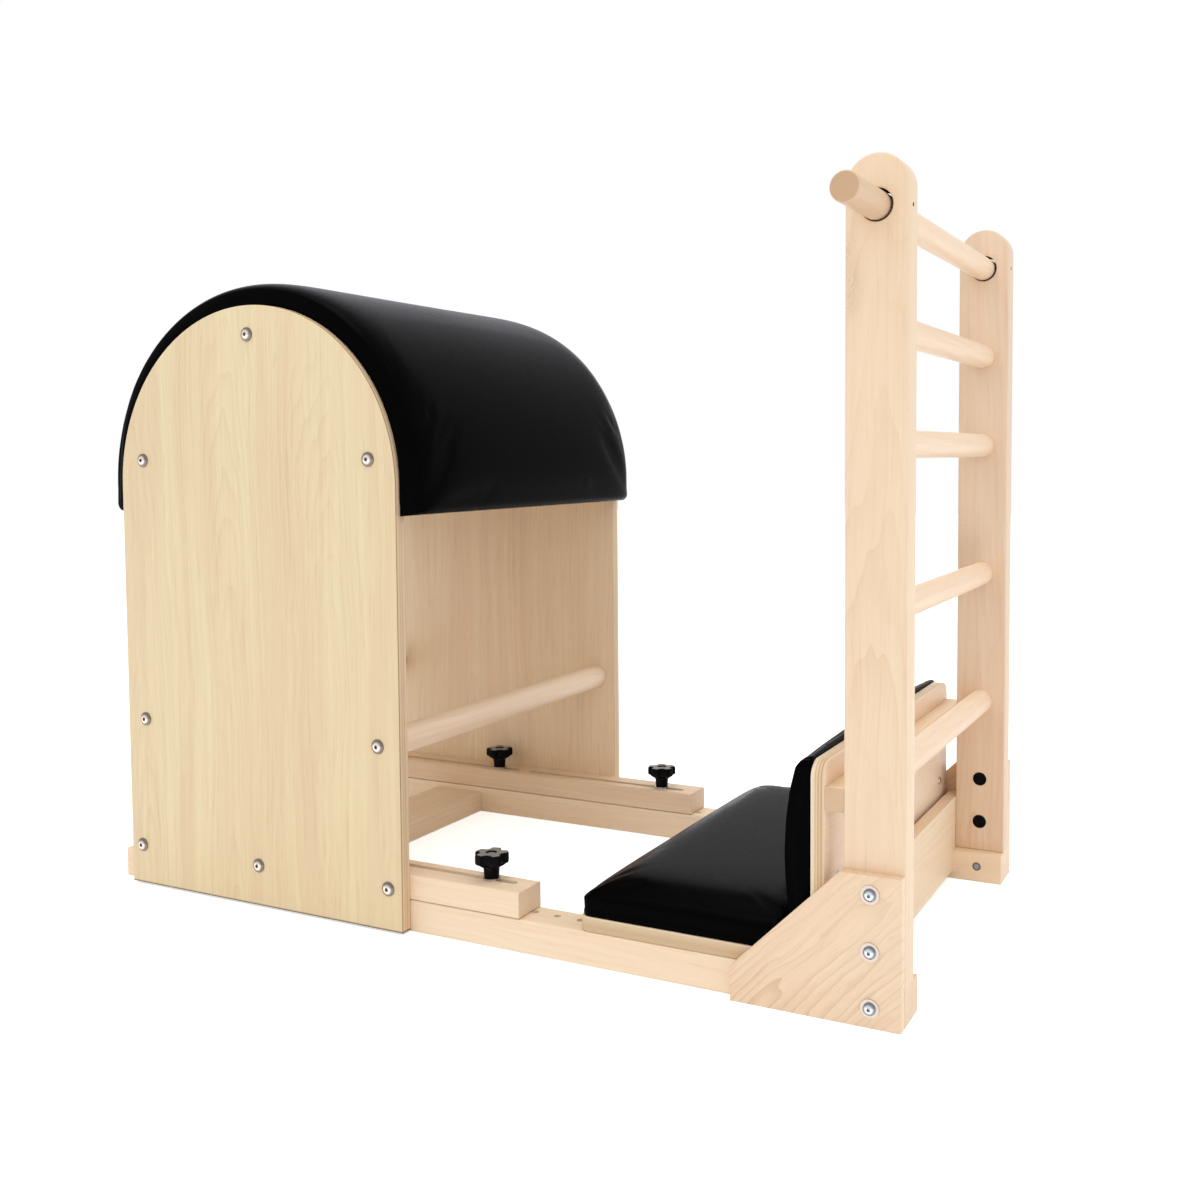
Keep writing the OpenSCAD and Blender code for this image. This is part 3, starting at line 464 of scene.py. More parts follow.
def lacquered(tree, colour, flecks, late):
    """Clear satin lacquer on wood: pores and late wood sink a little and are less glossy."""
    bump = put(tree, "ShaderNodeBump", {"Strength": 0.2, "Distance": 0.0002,
                                        "Height": weigh(tree, (flecks, late), (-0.8, -0.3))})
    return put(tree, "ShaderNodeBsdfPrincipled",
               {"Base Color": colour, "Roughness": weigh(tree, (flecks,), (0.12,), 0.42),
                "IOR": 1.5, "Specular IOR Level": 0.28, "Normal": bump})


def lacquered_maple(name, axis, pale, warm, line="#CFA67C", leaf=0.16, ring=0.006, lean=0.05,
                    depth=0.03, shift=0.0, weights=(0.26, 0.22, 0.14), end=0.22,
                    swing=CALM_SWING, turn=0, knot=None, held=None, foot=None):
    """Solid maple, planed and sanded under satin lacquer: nearly plain and pale, with faint
    arches, thin pinkish hairlines, small flecks, pin knots and slightly deeper end grain. knot
    is the place of a grown-in knot, held the distance from the middle plane, in metres, beyond
    which hands have darkened a bar, and foot the height of a lower edge that lies on another
    board, above which a thin line of painted shade is laid."""
    made, tree = new_material(name)
    late, tone, hairs, flecks = figure(tree, axis, leaf, ring, lean, depth, shift, swing, turn)
    colour = coats(tree, pale, (tone, warm),
                   (weigh(tree, (late, hairs, flecks), weights), line),
                   (weigh(tree, (knots(tree, PIN_KNOTS),), (0.5,)), "#A9764C"))
    if knot:
        colour = coats(tree, colour, (swirl(tree, knot), "#A88A6C"))
    if held:
        dark = put(tree, "ShaderNodeMapRange", {
            0: along_axis(tree, "Object", axis, True), 1: held - 0.02, 2: held, 4: 0.5})
        colour = coats(tree, colour, (dark, "#C9A27C"))
    # A thin line of painted shade along the lower edge, where the board lies on another
    if foot:
        dark = put(tree, "ShaderNodeMapRange", {
            0: along_axis(tree, "Object", "Z"), 1: foot + 0.0008, 2: foot + 0.002, 3: 0.85, 4: 0.0})
        colour = coats(tree, colour, (dark, "#A5805A"))
    colour = coats(tree, colour,
                   (weigh(tree, (facing(tree, axis, 0.75, 0.95),), (end,)), "#B8906A"))
    put(tree, "ShaderNodeOutputMaterial", {0: lacquered(tree, colour, flecks, late)})
    return made


def birch_plywood(name, axis, across, middle, thickness, plies, pale, warm, lit_inner=None):
    """Birch plywood under clear lacquer: calm sliced face leaves with faint arches, and edges
    whose plies are drawn by a ramp across the thickness. middle is the board's middle across
    its thickness, in mm; the last argument gives two tones for the face turned to the barrel's
    inside, paler than the outer face: painted light for the light bounced inside the barrel.
    A panel's lowest few millimetres are darker."""
    made, tree = new_material(name)
    below = middle * MM if across == "Y" else 0.0
    late, tone, hairs, flecks = figure(tree, axis, leaf=0.18, ring=0.0045, lean=0.055,
                                       depth=0.022 - below, shift=0.02)
    face = coats(tree, pale, (tone, warm))
    depth = along_axis(tree, "Object", across)
    # Paler tones on the face towards the barrel's inside: painted light
    if lit_inner:
        side = put(tree, "ShaderNodeMath", {0: along_axis(tree, "Normal", across), 1: depth},
                   operation="MULTIPLY")
        side = put(tree, "ShaderNodeMapRange", {0: side, 1: -0.1, 2: 0.1, 3: 1.0, 4: 0.0})
        face = coats(tree, face, (side, coats(tree, lit_inner[0], (tone, lit_inner[1]))))
    face = coats(tree, face, (weigh(tree, (late, hairs, flecks), (0.16, 0.19, 0.14)), "#C09A6C"))
    if across == "Y":
        depth = put(tree, "ShaderNodeMath", {0: depth}, operation="ABSOLUTE")
    low = (middle - thickness / 2) * MM
    layer = put(tree, "ShaderNodeMapRange", {0: depth, 1: low, 2: low + thickness * MM})
    edge = put(tree, "ShaderNodeValToRGB", {0: layer}, stops=plies)
    edge = coats(tree, edge, (weigh(tree, (hairs, flecks), (0.14, 0.22)), "#B58F66"))
    colour = coats(tree, edge, (facing(tree, across, 0.6, 0.8), face))
    # Darker towards the bottom of a panel
    if across == "Y":
        bottom_dark = put(tree, "ShaderNodeMapRange", {
            0: along_axis(tree, "Object", "Z"), 1: 0.0045, 2: 0.0065, 3: 0.9, 4: 0.0})
        colour = coats(tree, colour, (bottom_dark, "#6A5A38"))
    put(tree, "ShaderNodeOutputMaterial", {0: lacquered(tree, colour, flecks, late)})
    return made


def shaded_bore_wall():
    """The wall of a hole bored in maple, with turning marks of about 1 mm. It is nearly black and
    quite matt: painted shade that stands in for the dark inside the hole."""
    made, tree = new_material("bored_maple_painted_shade")
    where = put(tree, "ShaderNodeTexCoord").outputs["Object"]
    marks = put(tree, "ShaderNodeTexNoise",
                {"Vector": where, "Scale": TURNING_MARKS, "Detail": 2.0})
    # The near-black browns are painted shade for the inside of the hole
    colour = coats(tree, "#120C07", (marks, "#2C1D12"))
    shader = put(tree, "ShaderNodeBsdfPrincipled", {
        "Base Color": colour, "Roughness": weigh(tree, (marks,), (0.2,), 0.7),
        "Specular IOR Level": 0.0})
    put(tree, "ShaderNodeOutputMaterial", {0: shader})
    return made


def pad_vinyl():
    """Black upholstery vinyl over foam: calendered film with a fine embossed leather grain of
    1.6 mm cells, which gives a broad dim sheen on the crown and leaves the sides black."""
    made, tree = new_material("black_upholstery_vinyl")
    where = put(tree, "ShaderNodeTexCoord").outputs["Object"]
    bent = put(tree, "ShaderNodeTexNoise", {"Vector": where, "Scale": 160.0, "Detail": 2.0})
    shifted = put(tree, "ShaderNodeVectorMath", {0: bent.outputs["Color"], "Scale": 0.0012},
                  operation="SCALE")
    spot = put(tree, "ShaderNodeVectorMath", {0: where, 1: shifted}, operation="ADD")
    cells = put(tree, "ShaderNodeTexVoronoi", {"Vector": spot, "Scale": LEATHER_CELLS},
                feature="DISTANCE_TO_EDGE")
    crease = put(tree, "ShaderNodeMapRange", {0: cells, 1: 0.0, 2: 0.16})
    wear = put(tree, "ShaderNodeTexNoise", {"Vector": where, "Scale": 7.0, "Detail": 4.0})
    colour = coats(tree, "#020203", (wear, "#050506"))
    bump = put(tree, "ShaderNodeBump", {"Strength": 0.3, "Distance": 0.0001, "Height": crease})
    shader = put(tree, "ShaderNodeBsdfPrincipled",
                 {"Base Color": colour, "Roughness": weigh(tree, (wear, crease),
                                                           (0.06, -0.04), 0.27),
                  "IOR": 1.5, "Specular IOR Level": 0.013, "Normal": bump,
                  "Sheen Weight": 0.22, "Sheen Roughness": 0.22, "Sheen Tint": "#C8C6E6"})
    put(tree, "ShaderNodeOutputMaterial", {0: shader})
    return made


def moulded_nylon():
    """Black nylon of the knobs and caps, injection moulded: dim sides with a spark-eroded
    texture, drawn at 0.7 mm so that it shows, and flat tops rubbed smooth and painted pale grey,
    a painted reflection of the bright room."""
    made, tree = new_material("black_moulded_nylon")
    where = put(tree, "ShaderNodeTexCoord").outputs["Object"]
    grain = put(tree, "ShaderNodeTexNoise",
                {"Vector": where, "Scale": SPARK_TEXTURE, "Detail": 2.0})
    # The flat tops' pale grey is a painted reflection
    top = put(tree, "ShaderNodeMapRange", {0: along_axis(tree, "Normal", "Z"), 1: 0.93, 2: 0.995})
    colour = coats(tree, "#070708", (grain, "#0C0C0D"), (top, "#85827D"))
    bump = put(tree, "ShaderNodeBump", {"Strength": 0.25, "Distance": 0.0001, "Height": grain})
    shader = put(tree, "ShaderNodeBsdfPrincipled",
                 {"Base Color": colour, "Roughness": weigh(tree, (top,), (-0.14,), 0.42),
                  "IOR": 1.53, "Specular IOR Level": 0.045, "Normal": bump})
    put(tree, "ShaderNodeOutputMaterial", {0: shader})
    return made


def plated_metal(name, code, rough, rim_shade=None, crown=0.0, bare=1.0):
    """Plated or turned metal: turning marks, drawn at 1 mm so that they show, change its
    roughness. Where a second colour is given, heads are bright only on their crown, beyond the
    distance crown from the middle plane, and take the second, darker colour at the rim and in the
    socket: painted reflection of dark surroundings at the rim and painted shade in the socket.
    bare is the share of bare metal: the rest is a pale matt colour, painted light that keeps
    the bores of flush inserts from rendering dark."""
    made, tree = new_material(name)
    where = put(tree, "ShaderNodeTexCoord").outputs["Object"]
    marks = put(tree, "ShaderNodeTexNoise",
                {"Vector": where, "Scale": TURNING_MARKS, "Detail": 3.0})
    colour = code
    if rim_shade:
        bright = put(tree, "ShaderNodeMapRange", {
            0: along_axis(tree, "Object", "Y", True), 1: crown - 0.0012, 2: crown})
        colour = coats(tree, rim_shade, (bright, code))
    shader = put(tree, "ShaderNodeBsdfPrincipled",
                 {"Base Color": colour, "Metallic": bare,
                  "Roughness": weigh(tree, (marks,), (0.04,), rough)})
    put(tree, "ShaderNodeOutputMaterial", {0: shader})
    return made


# Hard maple, sawn, planed, sanded and lacquered: pale and nearly plain, so that boards read by
# their shading. The grain of the rails runs along X, and that of boards between them along Y.
rail_grain = {"depth": 0.02, "ring": 0.008, "weights": (0.11, 0.16, 0.13)}
maple_x = lacquered_maple("lacquered_maple_lengthways", "X", "#FAE6CC", "#F5DAB9", **rail_grain)
# The slotted beams are the same maple, with a thin line of painted shade along their foot,
# where they lie on the rails. The far one is painted a deeper tone, as painted shade, because
# it stands in the barrel's shade.
maple_beam = lacquered_maple("lacquered_maple_near_beam", "X", "#FAE6CC", "#F5DAB9",
                             foot=RAIL_TOP * MM, **rail_grain)
maple_far_beam = lacquered_maple("lacquered_maple_far_beam", "X", "#F0D7B9", "#E4C6A4",
                                 weights=(0.16, 0.2, 0.14), foot=RAIL_TOP * MM)
# Boards between the sides, whose sawn ends take up more lacquer and are darker
maple_y = lacquered_maple("lacquered_maple_crossways", "Y", "#F4DFC2", "#ECCFAB", leaf=0.3,
                          ring=0.008, weights=(0.20, 0.20, 0.14), end=0.5)
# Turned and sanded rods: straight faint grain, so that they look smooth and round. The handle
# bar's ends are browned by hands.
rod_grain = {"leaf": 0.5, "ring": 0.012, "weights": (0.10, 0.14, 0.10)}
maple_rod = lacquered_maple("turned_maple_rods", "Y", "#F8E1C7", "#F2D3B3", **rod_grain)
maple_bar = lacquered_maple("turned_maple_handle_bar", "Y", "#F8E1C7", "#F2D3B3", end=0.5,
                            held=0.3, **rod_grain)
# Uprights: tall pointed arches and one grown-in knot each. The far one is painted a deeper
# tone: painted shade, as it stands further from the light.
maple_z = lacquered_maple("lacquered_maple_upright", "Z", "#F4DDBF", "#F0D4B4", depth=-0.26,
                          leaf=0.09, shift=-0.591, knot=NEAR_KNOT)
maple_far_z = lacquered_maple("lacquered_maple_far_upright", "Z", "#ECD3B9", "#E4C5A8",
                              depth=-0.25, leaf=0.11, shift=-0.58, knot=FAR_KNOT)
# Gussets: broad arches with strong late wood, cut along their slope
maple_gusset = lacquered_maple("lacquered_maple_gusset", "Z", "#F5DEC2", "#EFD1B0",
                               "#BF9670", leaf=0.15, ring=0.009, lean=0.09, depth=-0.33,
                               shift=-0.33, weights=(0.52, 0.16, 0.16),
                               swing=(4.0, 13.0, 0.05), turn=-44)
# Plies in the boards' edges, as shares of the thickness: cross plies a tone deeper, and dark
# glue lines between them
edge_plain = [(0.0, "#B99B6E"), (0.10, "#E4CAA8"), (0.30, "#E0C4A2"), (0.36, "#CDAA86"),
              (0.50, "#E1C6A4"), (0.64, "#D0AE8A"), (0.70, "#E2C7A5"), (0.86, "#E4CAA8"),
              (0.93, "#9C7F5C"), (1.0, "#B39769")]
edge_seat = [(0.0, "#967552"), (0.09, "#D3B895"), (0.45, "#CFB18D"), (0.55, "#D3B895"),
             (0.88, "#DCC3A2"), (1.0, "#F0DEC4")]
edge_back = [(0.0, "#F6E8D2"), (0.12, "#F1DDC0"), (0.30, "#EBD3B2"), (0.335, "#B39269"),
             (0.37, "#E6CBA6"), (0.50, "#E3C7A2"), (0.535, "#A17E57"), (0.57, "#E0C39D"),
             (0.72, "#DDBF99"), (0.755, "#8F6D4A"), (0.79, "#DFC3A0"), (1.0, "#EBD3B8")]
edge_shell = [(0.0, "#E2C8A4"), (0.33, "#D9BB95"), (0.36, "#A7855F"), (0.39, "#D9BB95"),
              (0.61, "#DCC09B"), (0.64, "#A7855F"), (0.67, "#DCC09B"), (1.0, "#E2C8A4")]
# Birch plywood, peeled, glued, pressed, sanded and lacquered: calm pale faces over striped
# edges. The shell is bent, so its edge colours run along X over a long way, not across it.
# The faces inside the barrel are painted paler: painted light for the light bounced in there
panel_ply = birch_plywood("birch_plywood_panel", "Z", "Y", (PANEL_INNER + PANEL_OUTER) / 2,
                          PANEL_OUTER - PANEL_INNER, edge_plain, "#ECDDB4", "#E4CAA6",
                          lit_inner=("#F7E3C0", "#F0D3B4"))
foot_ply = birch_plywood("birch_plywood_foot_board", "Y", "Z", (RAIL_TOP + SEAT_TOP) / 2,
                         SEAT_TOP - RAIL_TOP, edge_seat, "#EBD5B2", "#E3C7A0")
back_ply = birch_plywood("birch_plywood_back_board", "Y", "X",
                         BACK_BOARD_X + BACK_THICKNESS / 2, BACK_THICKNESS, edge_back,
                         "#FAE7D0", "#F5DBC2")
shell_ply = birch_plywood("bending_plywood_shell", "Y", "X", 0, SHELL_RAMP, edge_shell,
                          "#EAD3AE", "#E0C296")
bore = shaded_bore_wall()
vinyl = pad_vinyl()
nylon = moulded_nylon()
# Nickel on steel: smooth and bright, it mirrors the white room with a warm tinge
nickel = plated_metal("nickel_plated_steel", "#C6C4C0", 0.2)
# Domed bolts, pressed and plated: a bright crown over a grey rim and socket, painted
# reflection at the rim and painted shade in the socket
panel_nickel = plated_metal("nickel_plated_panel_bolts", "#E3DAD4", 0.16, "#7D7268",
                            PANEL_CROWN * MM)
gusset_nickel = plated_metal("nickel_plated_gusset_bolts", "#D9DDE2", 0.16, "#777F88",
                             GUSSET_CROWN * MM)
# Zinc on stamped washers: duller than the bolts that they sit under
zinc = plated_metal("zinc_plated_washer", "#CDBFB5", 0.38)
# Steel blackened or browned in a bath: dark, with a broad dim highlight
black_steel = plated_metal("blackened_steel", "#2A2826", 0.4)
brown_steel = plated_metal("browned_steel_nuts", "#6E5C46", 0.4)
# Turned brass inserts, flush with sanded wood, coloured pale and matt: painted light, so that
# their bores don't render dark
brass = plated_metal("turned_brass_painted_pale", "#F4E2C2", 0.6, bare=0.1)


def numbered(name):
    """Four nodes of one name."""
    return ["%s_%d" % (name, number) for number in range(1, 5)]


NODE_MATERIALS = {
    maple_x: ["base_rail_right", "base_rail_left"],
    maple_beam: ["slide_beam_right"],
    maple_far_beam: ["slide_beam_left"],
    maple_y: ["rear_cross_board", "ladder_cross_board", "back_beam", "slat_top", "slat_front",
              "slat_rear"],
    maple_bar: ["handle_bar"],
    maple_rod: numbered("rung") + ["crossbar_front", "crossbar_rear"],
    maple_z: ["upright_right"],
    maple_far_z: ["upright_left"],
    maple_gusset: ["gusset_right", "gusset_left"],
    panel_ply: ["side_panel_right", "side_panel_left"],
    foot_ply: ["foot_board"],
    back_ply: ["back_board"],
    shell_ply: ["barrel_shell"],
    vinyl: ["barrel_pad", "foot_pad", "back_pad"],
    nylon: ["upright_caps"] + numbered("knob"),
    black_steel: ["set_screws"],
    brown_steel: ["gusset_nuts"],
    nickel: ["foot_board_screws", "back_board_screws", "cross_board_screws",
             "back_pad_bolts", "panel_inserts"] + numbered("stud") + numbered("clamp_washer"),
    panel_nickel: ["panel_bolts"],
    gusset_nickel: ["gusset_bolts"],
    zinc: ["gusset_washers"],
    brass: ["rail_inserts"],
}
for material, nodes in NODE_MATERIALS.items():
    for node in nodes:
        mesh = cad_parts[node].data
        mesh.materials.clear()
        mesh.materials.append(material)


# Boards


def arched_outline():
    """Side panel: straight legs and a half circle."""
    left, right = PANEL_X - ARCH_RADIUS, PANEL_X + ARCH_RADIUS
    return np.concatenate([[[left, PANEL_FOOT], [right, PANEL_FOOT]],
                           arc((PANEL_X, ARCH_HEIGHT), ARCH_RADIUS, 0, 180, 96)])


def upright_outline():
    """Upright: straight, with a half circle at its top."""
    half = UPRIGHT_WIDTH / 2
    return np.concatenate([[[UPRIGHT_X - half, RAIL_TOP], [UPRIGHT_X + half, RAIL_TOP]],
                           arc((UPRIGHT_X, UPRIGHT_TOP - half), half, 0, 180, 40)])


def hole(x, z, radius, steps=40):
    """Round hole, run the other way round so that the wood is on its left."""
    return arc((x, z), radius, 360, 0, steps)[:-1]


def bored(made, x, z, reach):
    """Gives a hole's wall its own material: the faces whose middle lies within reach of the
    hole's axis, which runs along Y."""
    mesh = made.data
    middle = np.empty(3 * len(mesh.polygons))
    mesh.polygons.foreach_get("center", middle)
    middle = middle.reshape(-1, 3) / MM
    wall = np.hypot(middle[:, 0] - x, middle[:, 2] - z) < reach
    mesh.materials.append(bore)
    mesh.polygons.foreach_set("material_index", wall.astype(np.int32))


for side, sign in (("right", -1), ("left", 1)):
    low, high = sorted((sign * PANEL_INNER, sign * PANEL_OUTER))
    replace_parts(board("arched_panel_" + side, [arched_outline()], low, high, "xzy",
                      PANEL_ARRIS, panel_ply, "barrel"), "side_panel_" + side)
    low, high = sorted((sign * (RAIL_OUTER - UPRIGHT_THICKNESS), sign * RAIL_OUTER))
    post = board("round_top_upright_" + side,
                 [upright_outline(), hole(UPRIGHT_X, HANDLE_HEIGHT, HANDLE_HOLE)],
                 low, high, "xzy", UPRIGHT_ARRIS, maple_z if sign < 0 else maple_far_z, "base")
    bored(post, UPRIGHT_X, HANDLE_HEIGHT, HANDLE_HOLE + BORE_REACH)
    middle = sign * (RAIL_OUTER - UPRIGHT_THICKNESS / 2)
    drilled(post, np.array([UPRIGHT_X + UPRIGHT_WIDTH / 2, middle, HANDLE_HEIGHT]),
            SCREW_HOLE, SCREW_DEPTH)
    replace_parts(post, "upright_" + side)
    low, high = sorted((sign * RAIL_OUTER, sign * (RAIL_OUTER + GUSSET_THICKNESS)))
    gusset = GUSSET_X + np.array([-GUSSET_LENGTH, 0, 0, -UPRIGHT_WIDTH, -GUSSET_LENGTH])
    gusset = np.stack([gusset, [0, 0, GUSSET_HEIGHT, GUSSET_HEIGHT, GUSSET_NOSE]], axis=1)
    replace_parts(board("foot_gusset_" + side, [gusset], low, high, "xzy", BOARD_ARRIS,
                      maple_gusset, "base"), "gusset_" + side)

back_rear = BACK_BOARD_X + BACK_THICKNESS
corner = FOOT_CORNER
foot_outline = np.concatenate([
    [[back_rear, -BOARD_HALF], [back_rear, BOARD_HALF]],
    arc((FOOT_BOARD_X + corner, BOARD_HALF - corner), corner, 90, 180, 12),
    arc((FOOT_BOARD_X + corner, corner - BOARD_HALF), corner, 180, 270, 12)])
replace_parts(board("seat_foot_board", [foot_outline], RAIL_TOP, SEAT_TOP, "xyz", BOARD_ARRIS,
                  foot_ply, "base"), "foot_board")
corner = BACK_CORNER
back_outline = np.concatenate([
    [[-BOARD_HALF, SEAT_TOP], [BOARD_HALF, SEAT_TOP]],
    arc((BOARD_HALF - corner, BACK_TOP - corner), corner, 0, 90, 12),
    arc((corner - BOARD_HALF, BACK_TOP - corner), corner, 90, 180, 12)])
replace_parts(board("seat_back_board", [back_outline], BACK_BOARD_X, back_rear, "yzx",
                  BOARD_ARRIS, back_ply, "base"), "back_board")


# Pads


def dome(u, v, low, high, side, end=1.0):
    """Fullness of a pad at u and v from -1 to 1: one less a power of u, times one less the share
    end of a power of v, all of it to the power 0.55. u has its own power on either half."""
    power = np.where(u < 0, low, high)
    return (np.clip((1 - np.abs(u) ** power) * (1 - end * np.abs(v) ** side), 0, 1)) ** 0.55


def round_corner(x, y, a, b, r):
    """Bends a square corner to a quarter circle: each offset, as a share of the radius r, is
    times the square root of one less half the other's square."""
    dx = np.clip(np.abs(x) - a + r, 0, None) / r
    dy = np.clip(np.abs(y) - b + r, 0, None) / r
    return (np.sign(x) * (np.minimum(np.abs(x), a - r) + r * dx * np.sqrt(1 - dy * dy / 2)),
            np.sign(y) * (np.minimum(np.abs(y), b - r) + r * dy * np.sqrt(1 - dx * dx / 2)))


def cushion(length, width, thickness, corner, powers, side, rise=0):
    """Closed cushion on z = 0: a domed grid whose lines a cosine crowds at its edges, sides
    drawn in towards the foot by the cube of the way down, and a flat underside. rise bows the
    edge at high x outwards, and side is the sides' height."""
    a, b = length / 2, width / 2
    rows, columns = CUSHION_GRID
    u, v = np.meshgrid(-np.cos(np.linspace(0, np.pi, rows)),
                       -np.cos(np.linspace(0, np.pi, columns)), indexing="ij")
    x, y = round_corner(a * u, b * v, a, b, corner)
    x = x + rise * (1 - v * v) * (u + 1) / 2
    z = side + (thickness - side) * dome(u, v, *powers)
    top = np.stack([x, y, z], axis=-1)
    rim = np.concatenate([np.arange(rows - 1) * columns,
                          (rows - 1) * columns + np.arange(columns - 1),
                          np.arange(rows - 1, 0, -1) * columns + columns - 1,
                          np.arange(columns - 1, 0, -1)])
    edge = top.reshape(-1, 3)[rim]
    levels = np.linspace(1, 0, 6)[1:]
    tuck = PAD_TUCK * (1 - levels) ** 3
    sides = np.stack([np.stack([edge[:, 0] * (1 - t / a), edge[:, 1] * (1 - t / b),
                                edge[:, 2] * level], axis=1)
                      for level, t in zip(levels, tuck)])
    points = np.concatenate([top.reshape(-1, 3), sides.reshape(-1, 3)])
    first = rows * columns
    wall = np.concatenate([rim[None], first + np.arange(5 * len(rim)).reshape(5, -1)])
    following = np.roll(wall, -1, axis=1)
    walls = np.stack([wall[:-1], wall[1:], following[1:], following[:-1]], axis=-1)
    faces = strip(rows, columns).tolist() + walls.reshape(-1, 4).tolist()
    faces.append(wall[-1].tolist())
    return points, faces


def coordinates(mesh):
    """All points of a mesh as one array."""
    flat = np.empty(3 * len(mesh.vertices))
    mesh.vertices.foreach_get("co", flat)
    return flat.reshape(-1, 3)


def filled(made, voxel, most, held):
    """Vinyl filled out by its foam. A copy of the skin, remeshed to even squares, is blown up
    by cloth simulation without gravity, while the points for which held is true stay on their
    board. The pad follows that skin, by no more than a distance most in metres, and its own
    mesh stays."""
    scene = bpy.context.scene
    skin = in_scene("skin", made.data.copy())
    even = skin.modifiers.new("even", "REMESH")
    even.mode, even.voxel_size = "VOXEL", voxel
    applied(skin)
    pinned = skin.vertex_groups.new(name="held")
    pinned.add(np.flatnonzero(held(coordinates(skin.data))).tolist(), 1.0, "REPLACE")
    follow = made.modifiers.new("follow", "SURFACE_DEFORM")
    follow.target = skin
    bpy.context.view_layer.update()
    with bpy.context.temp_override(object=made, active_object=made):
        bpy.ops.object.surfacedeform_bind(modifier=follow.name)
    cloth = skin.modifiers.new("fill", "CLOTH")
    cloth.settings.quality = FILL_QUALITY
    cloth.settings.use_pressure = True
    cloth.settings.uniform_pressure_force = FILL_PRESSURE
    cloth.settings.vertex_group_mass = "held"
    cloth.settings.effector_weights.gravity = 0.0
    cloth.collision_settings.use_collision = False
    cloth.point_cache.frame_end = FILL_FRAMES
    for step in range(1, FILL_FRAMES + 1):
        scene.frame_set(step)
    before = coordinates(made.data)
    applied(made)
    moved = coordinates(made.data) - before
    far = np.linalg.norm(moved, axis=1)[:, None]
    moved = moved * np.minimum(1, most / np.maximum(far, 1e-9))
    moved[held(before)] = 0
    made.data.vertices.foreach_set("co", (before + moved).ravel())
    made.data.update()
    scene.frame_set(1)
    bpy.data.objects.remove(skin)


foot_points, foot_faces = cushion(FOOT_PAD_LENGTH, 2 * BOARD_HALF, FOOT_PAD_HEIGHT,
                                  FOOT_CORNER, FOOT_FULLNESS, side=FOOT_PAD_SIDE)
foot_points += [FOOT_BOARD_X + FOOT_PAD_LENGTH / 2, 0, SEAT_TOP]
foot_pad = piece("seat_foot_pad", foot_points, foot_faces, vinyl, "base", PAD_SHARP)
filled(foot_pad, SEAT_VOXEL, SEAT_FILL, lambda at: at[:, 2] < SEAT_TOP * MM + HELD_REACH)
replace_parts(foot_pad, "foot_pad")

back_points, back_faces = cushion(BACK_PAD_LENGTH, 2 * (BOARD_HALF - BACK_PAD_INSET),
                                  BACK_PAD_HEIGHT, BACK_PAD_CORNER, BACK_FULLNESS,
                                  rise=BACK_PAD_RISE, side=BACK_PAD_SIDE)
back_middle = SEAT_TOP + SEAT_GAP + BACK_PAD_LENGTH / 2
back_points = np.stack([BACK_BOARD_X - back_points[:, 2], back_points[:, 1],
                        back_middle + back_points[:, 0]], axis=1)
back_pad = piece("seat_back_pad", back_points, back_faces, vinyl, "base", PAD_SHARP)
filled(back_pad, SEAT_VOXEL, SEAT_FILL, lambda at: at[:, 0] > BACK_BOARD_X * MM - HELD_REACH)
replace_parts(back_pad, "back_pad")


def bent_pad():
    """The barrel's pad: a closed section of radius and width is carried up one straight leg,
    round the half circle and down the other leg. The section is flat inside, laps over both
    panels' edges and rises outside from rim to crown by the square root of one less the 14th
    power of v. At both hems its outer side is drawn in by a quarter circle."""
    v = np.sin(np.radians(np.linspace(-90, 90, 161)))
    outer = PAD_RIM + (PAD_CROWN - PAD_RIM) * np.sqrt(np.clip(1 - np.abs(v) ** 14, 0, 1))
    drop = np.linspace(1, 0, 12)[1:]
    wall = np.stack([PAD_LAP + PAD_FOLD + (PAD_RIM - PAD_LAP - PAD_FOLD) * drop,
                     PAD_END + PAD_BULGE * (1 - (2 * drop - 1) ** 2)], axis=1)
    turn = np.radians([30, 60, 90])
    fold = np.stack([PAD_LAP + PAD_FOLD * (1 - np.sin(turn)),
                     PAD_END - PAD_FOLD * (1 - np.cos(turn))], axis=1)
    step = np.array([[PAD_LAP, PAD_SEAT], [PAD_INNER, PAD_SEAT]])
    inside = np.stack([np.full(30, PAD_INNER), np.linspace(PAD_SEAT, -PAD_SEAT, 32)[1:-1]],
                      axis=1)
    half = np.concatenate([wall, fold, step])
    section = np.concatenate([np.stack([outer, PAD_END * v], axis=1), half, inside,
                              (half * [1, -1])[::-1]])
    share = np.clip((section[:, 0] - PAD_LAP) / (PAD_RIM - PAD_LAP), 0, 1)
    hem = np.radians(np.linspace(0, 90, 9))
    leg = np.concatenate([-PAD_SKIRT + PAD_HEM * (1 - np.cos(hem)),
                          np.linspace(PAD_HEM - PAD_SKIRT, 0, 7)[1:-1]])
    tuck = np.concatenate([PAD_HEM * (1 - np.sin(hem)), np.zeros(5)])
    turn = np.radians(np.linspace(0, 180, 121))
    direction = np.concatenate([np.zeros(len(leg)), turn, np.full(len(leg), np.pi)])
    low = np.concatenate([leg, np.zeros(len(turn)), leg[::-1]])
    drawn = np.concatenate([tuck, np.zeros(len(turn)), tuck[::-1]])
    radius = section[None, :, 0] - drawn[:, None] * share[None, :]
    points = np.stack([PANEL_X + radius * np.cos(direction)[:, None],
                       np.broadcast_to(section[None, :, 1], radius.shape),
                       ARCH_HEIGHT + radius * np.sin(direction)[:, None] + low[:, None]],
                      axis=-1)
    rows, columns = radius.shape
    faces = strip(rows, columns, wrap=True).tolist()
    faces += [list(range(columns)), list(range((rows - 1) * columns, rows * columns))]
    return points.reshape(-1, 3), faces


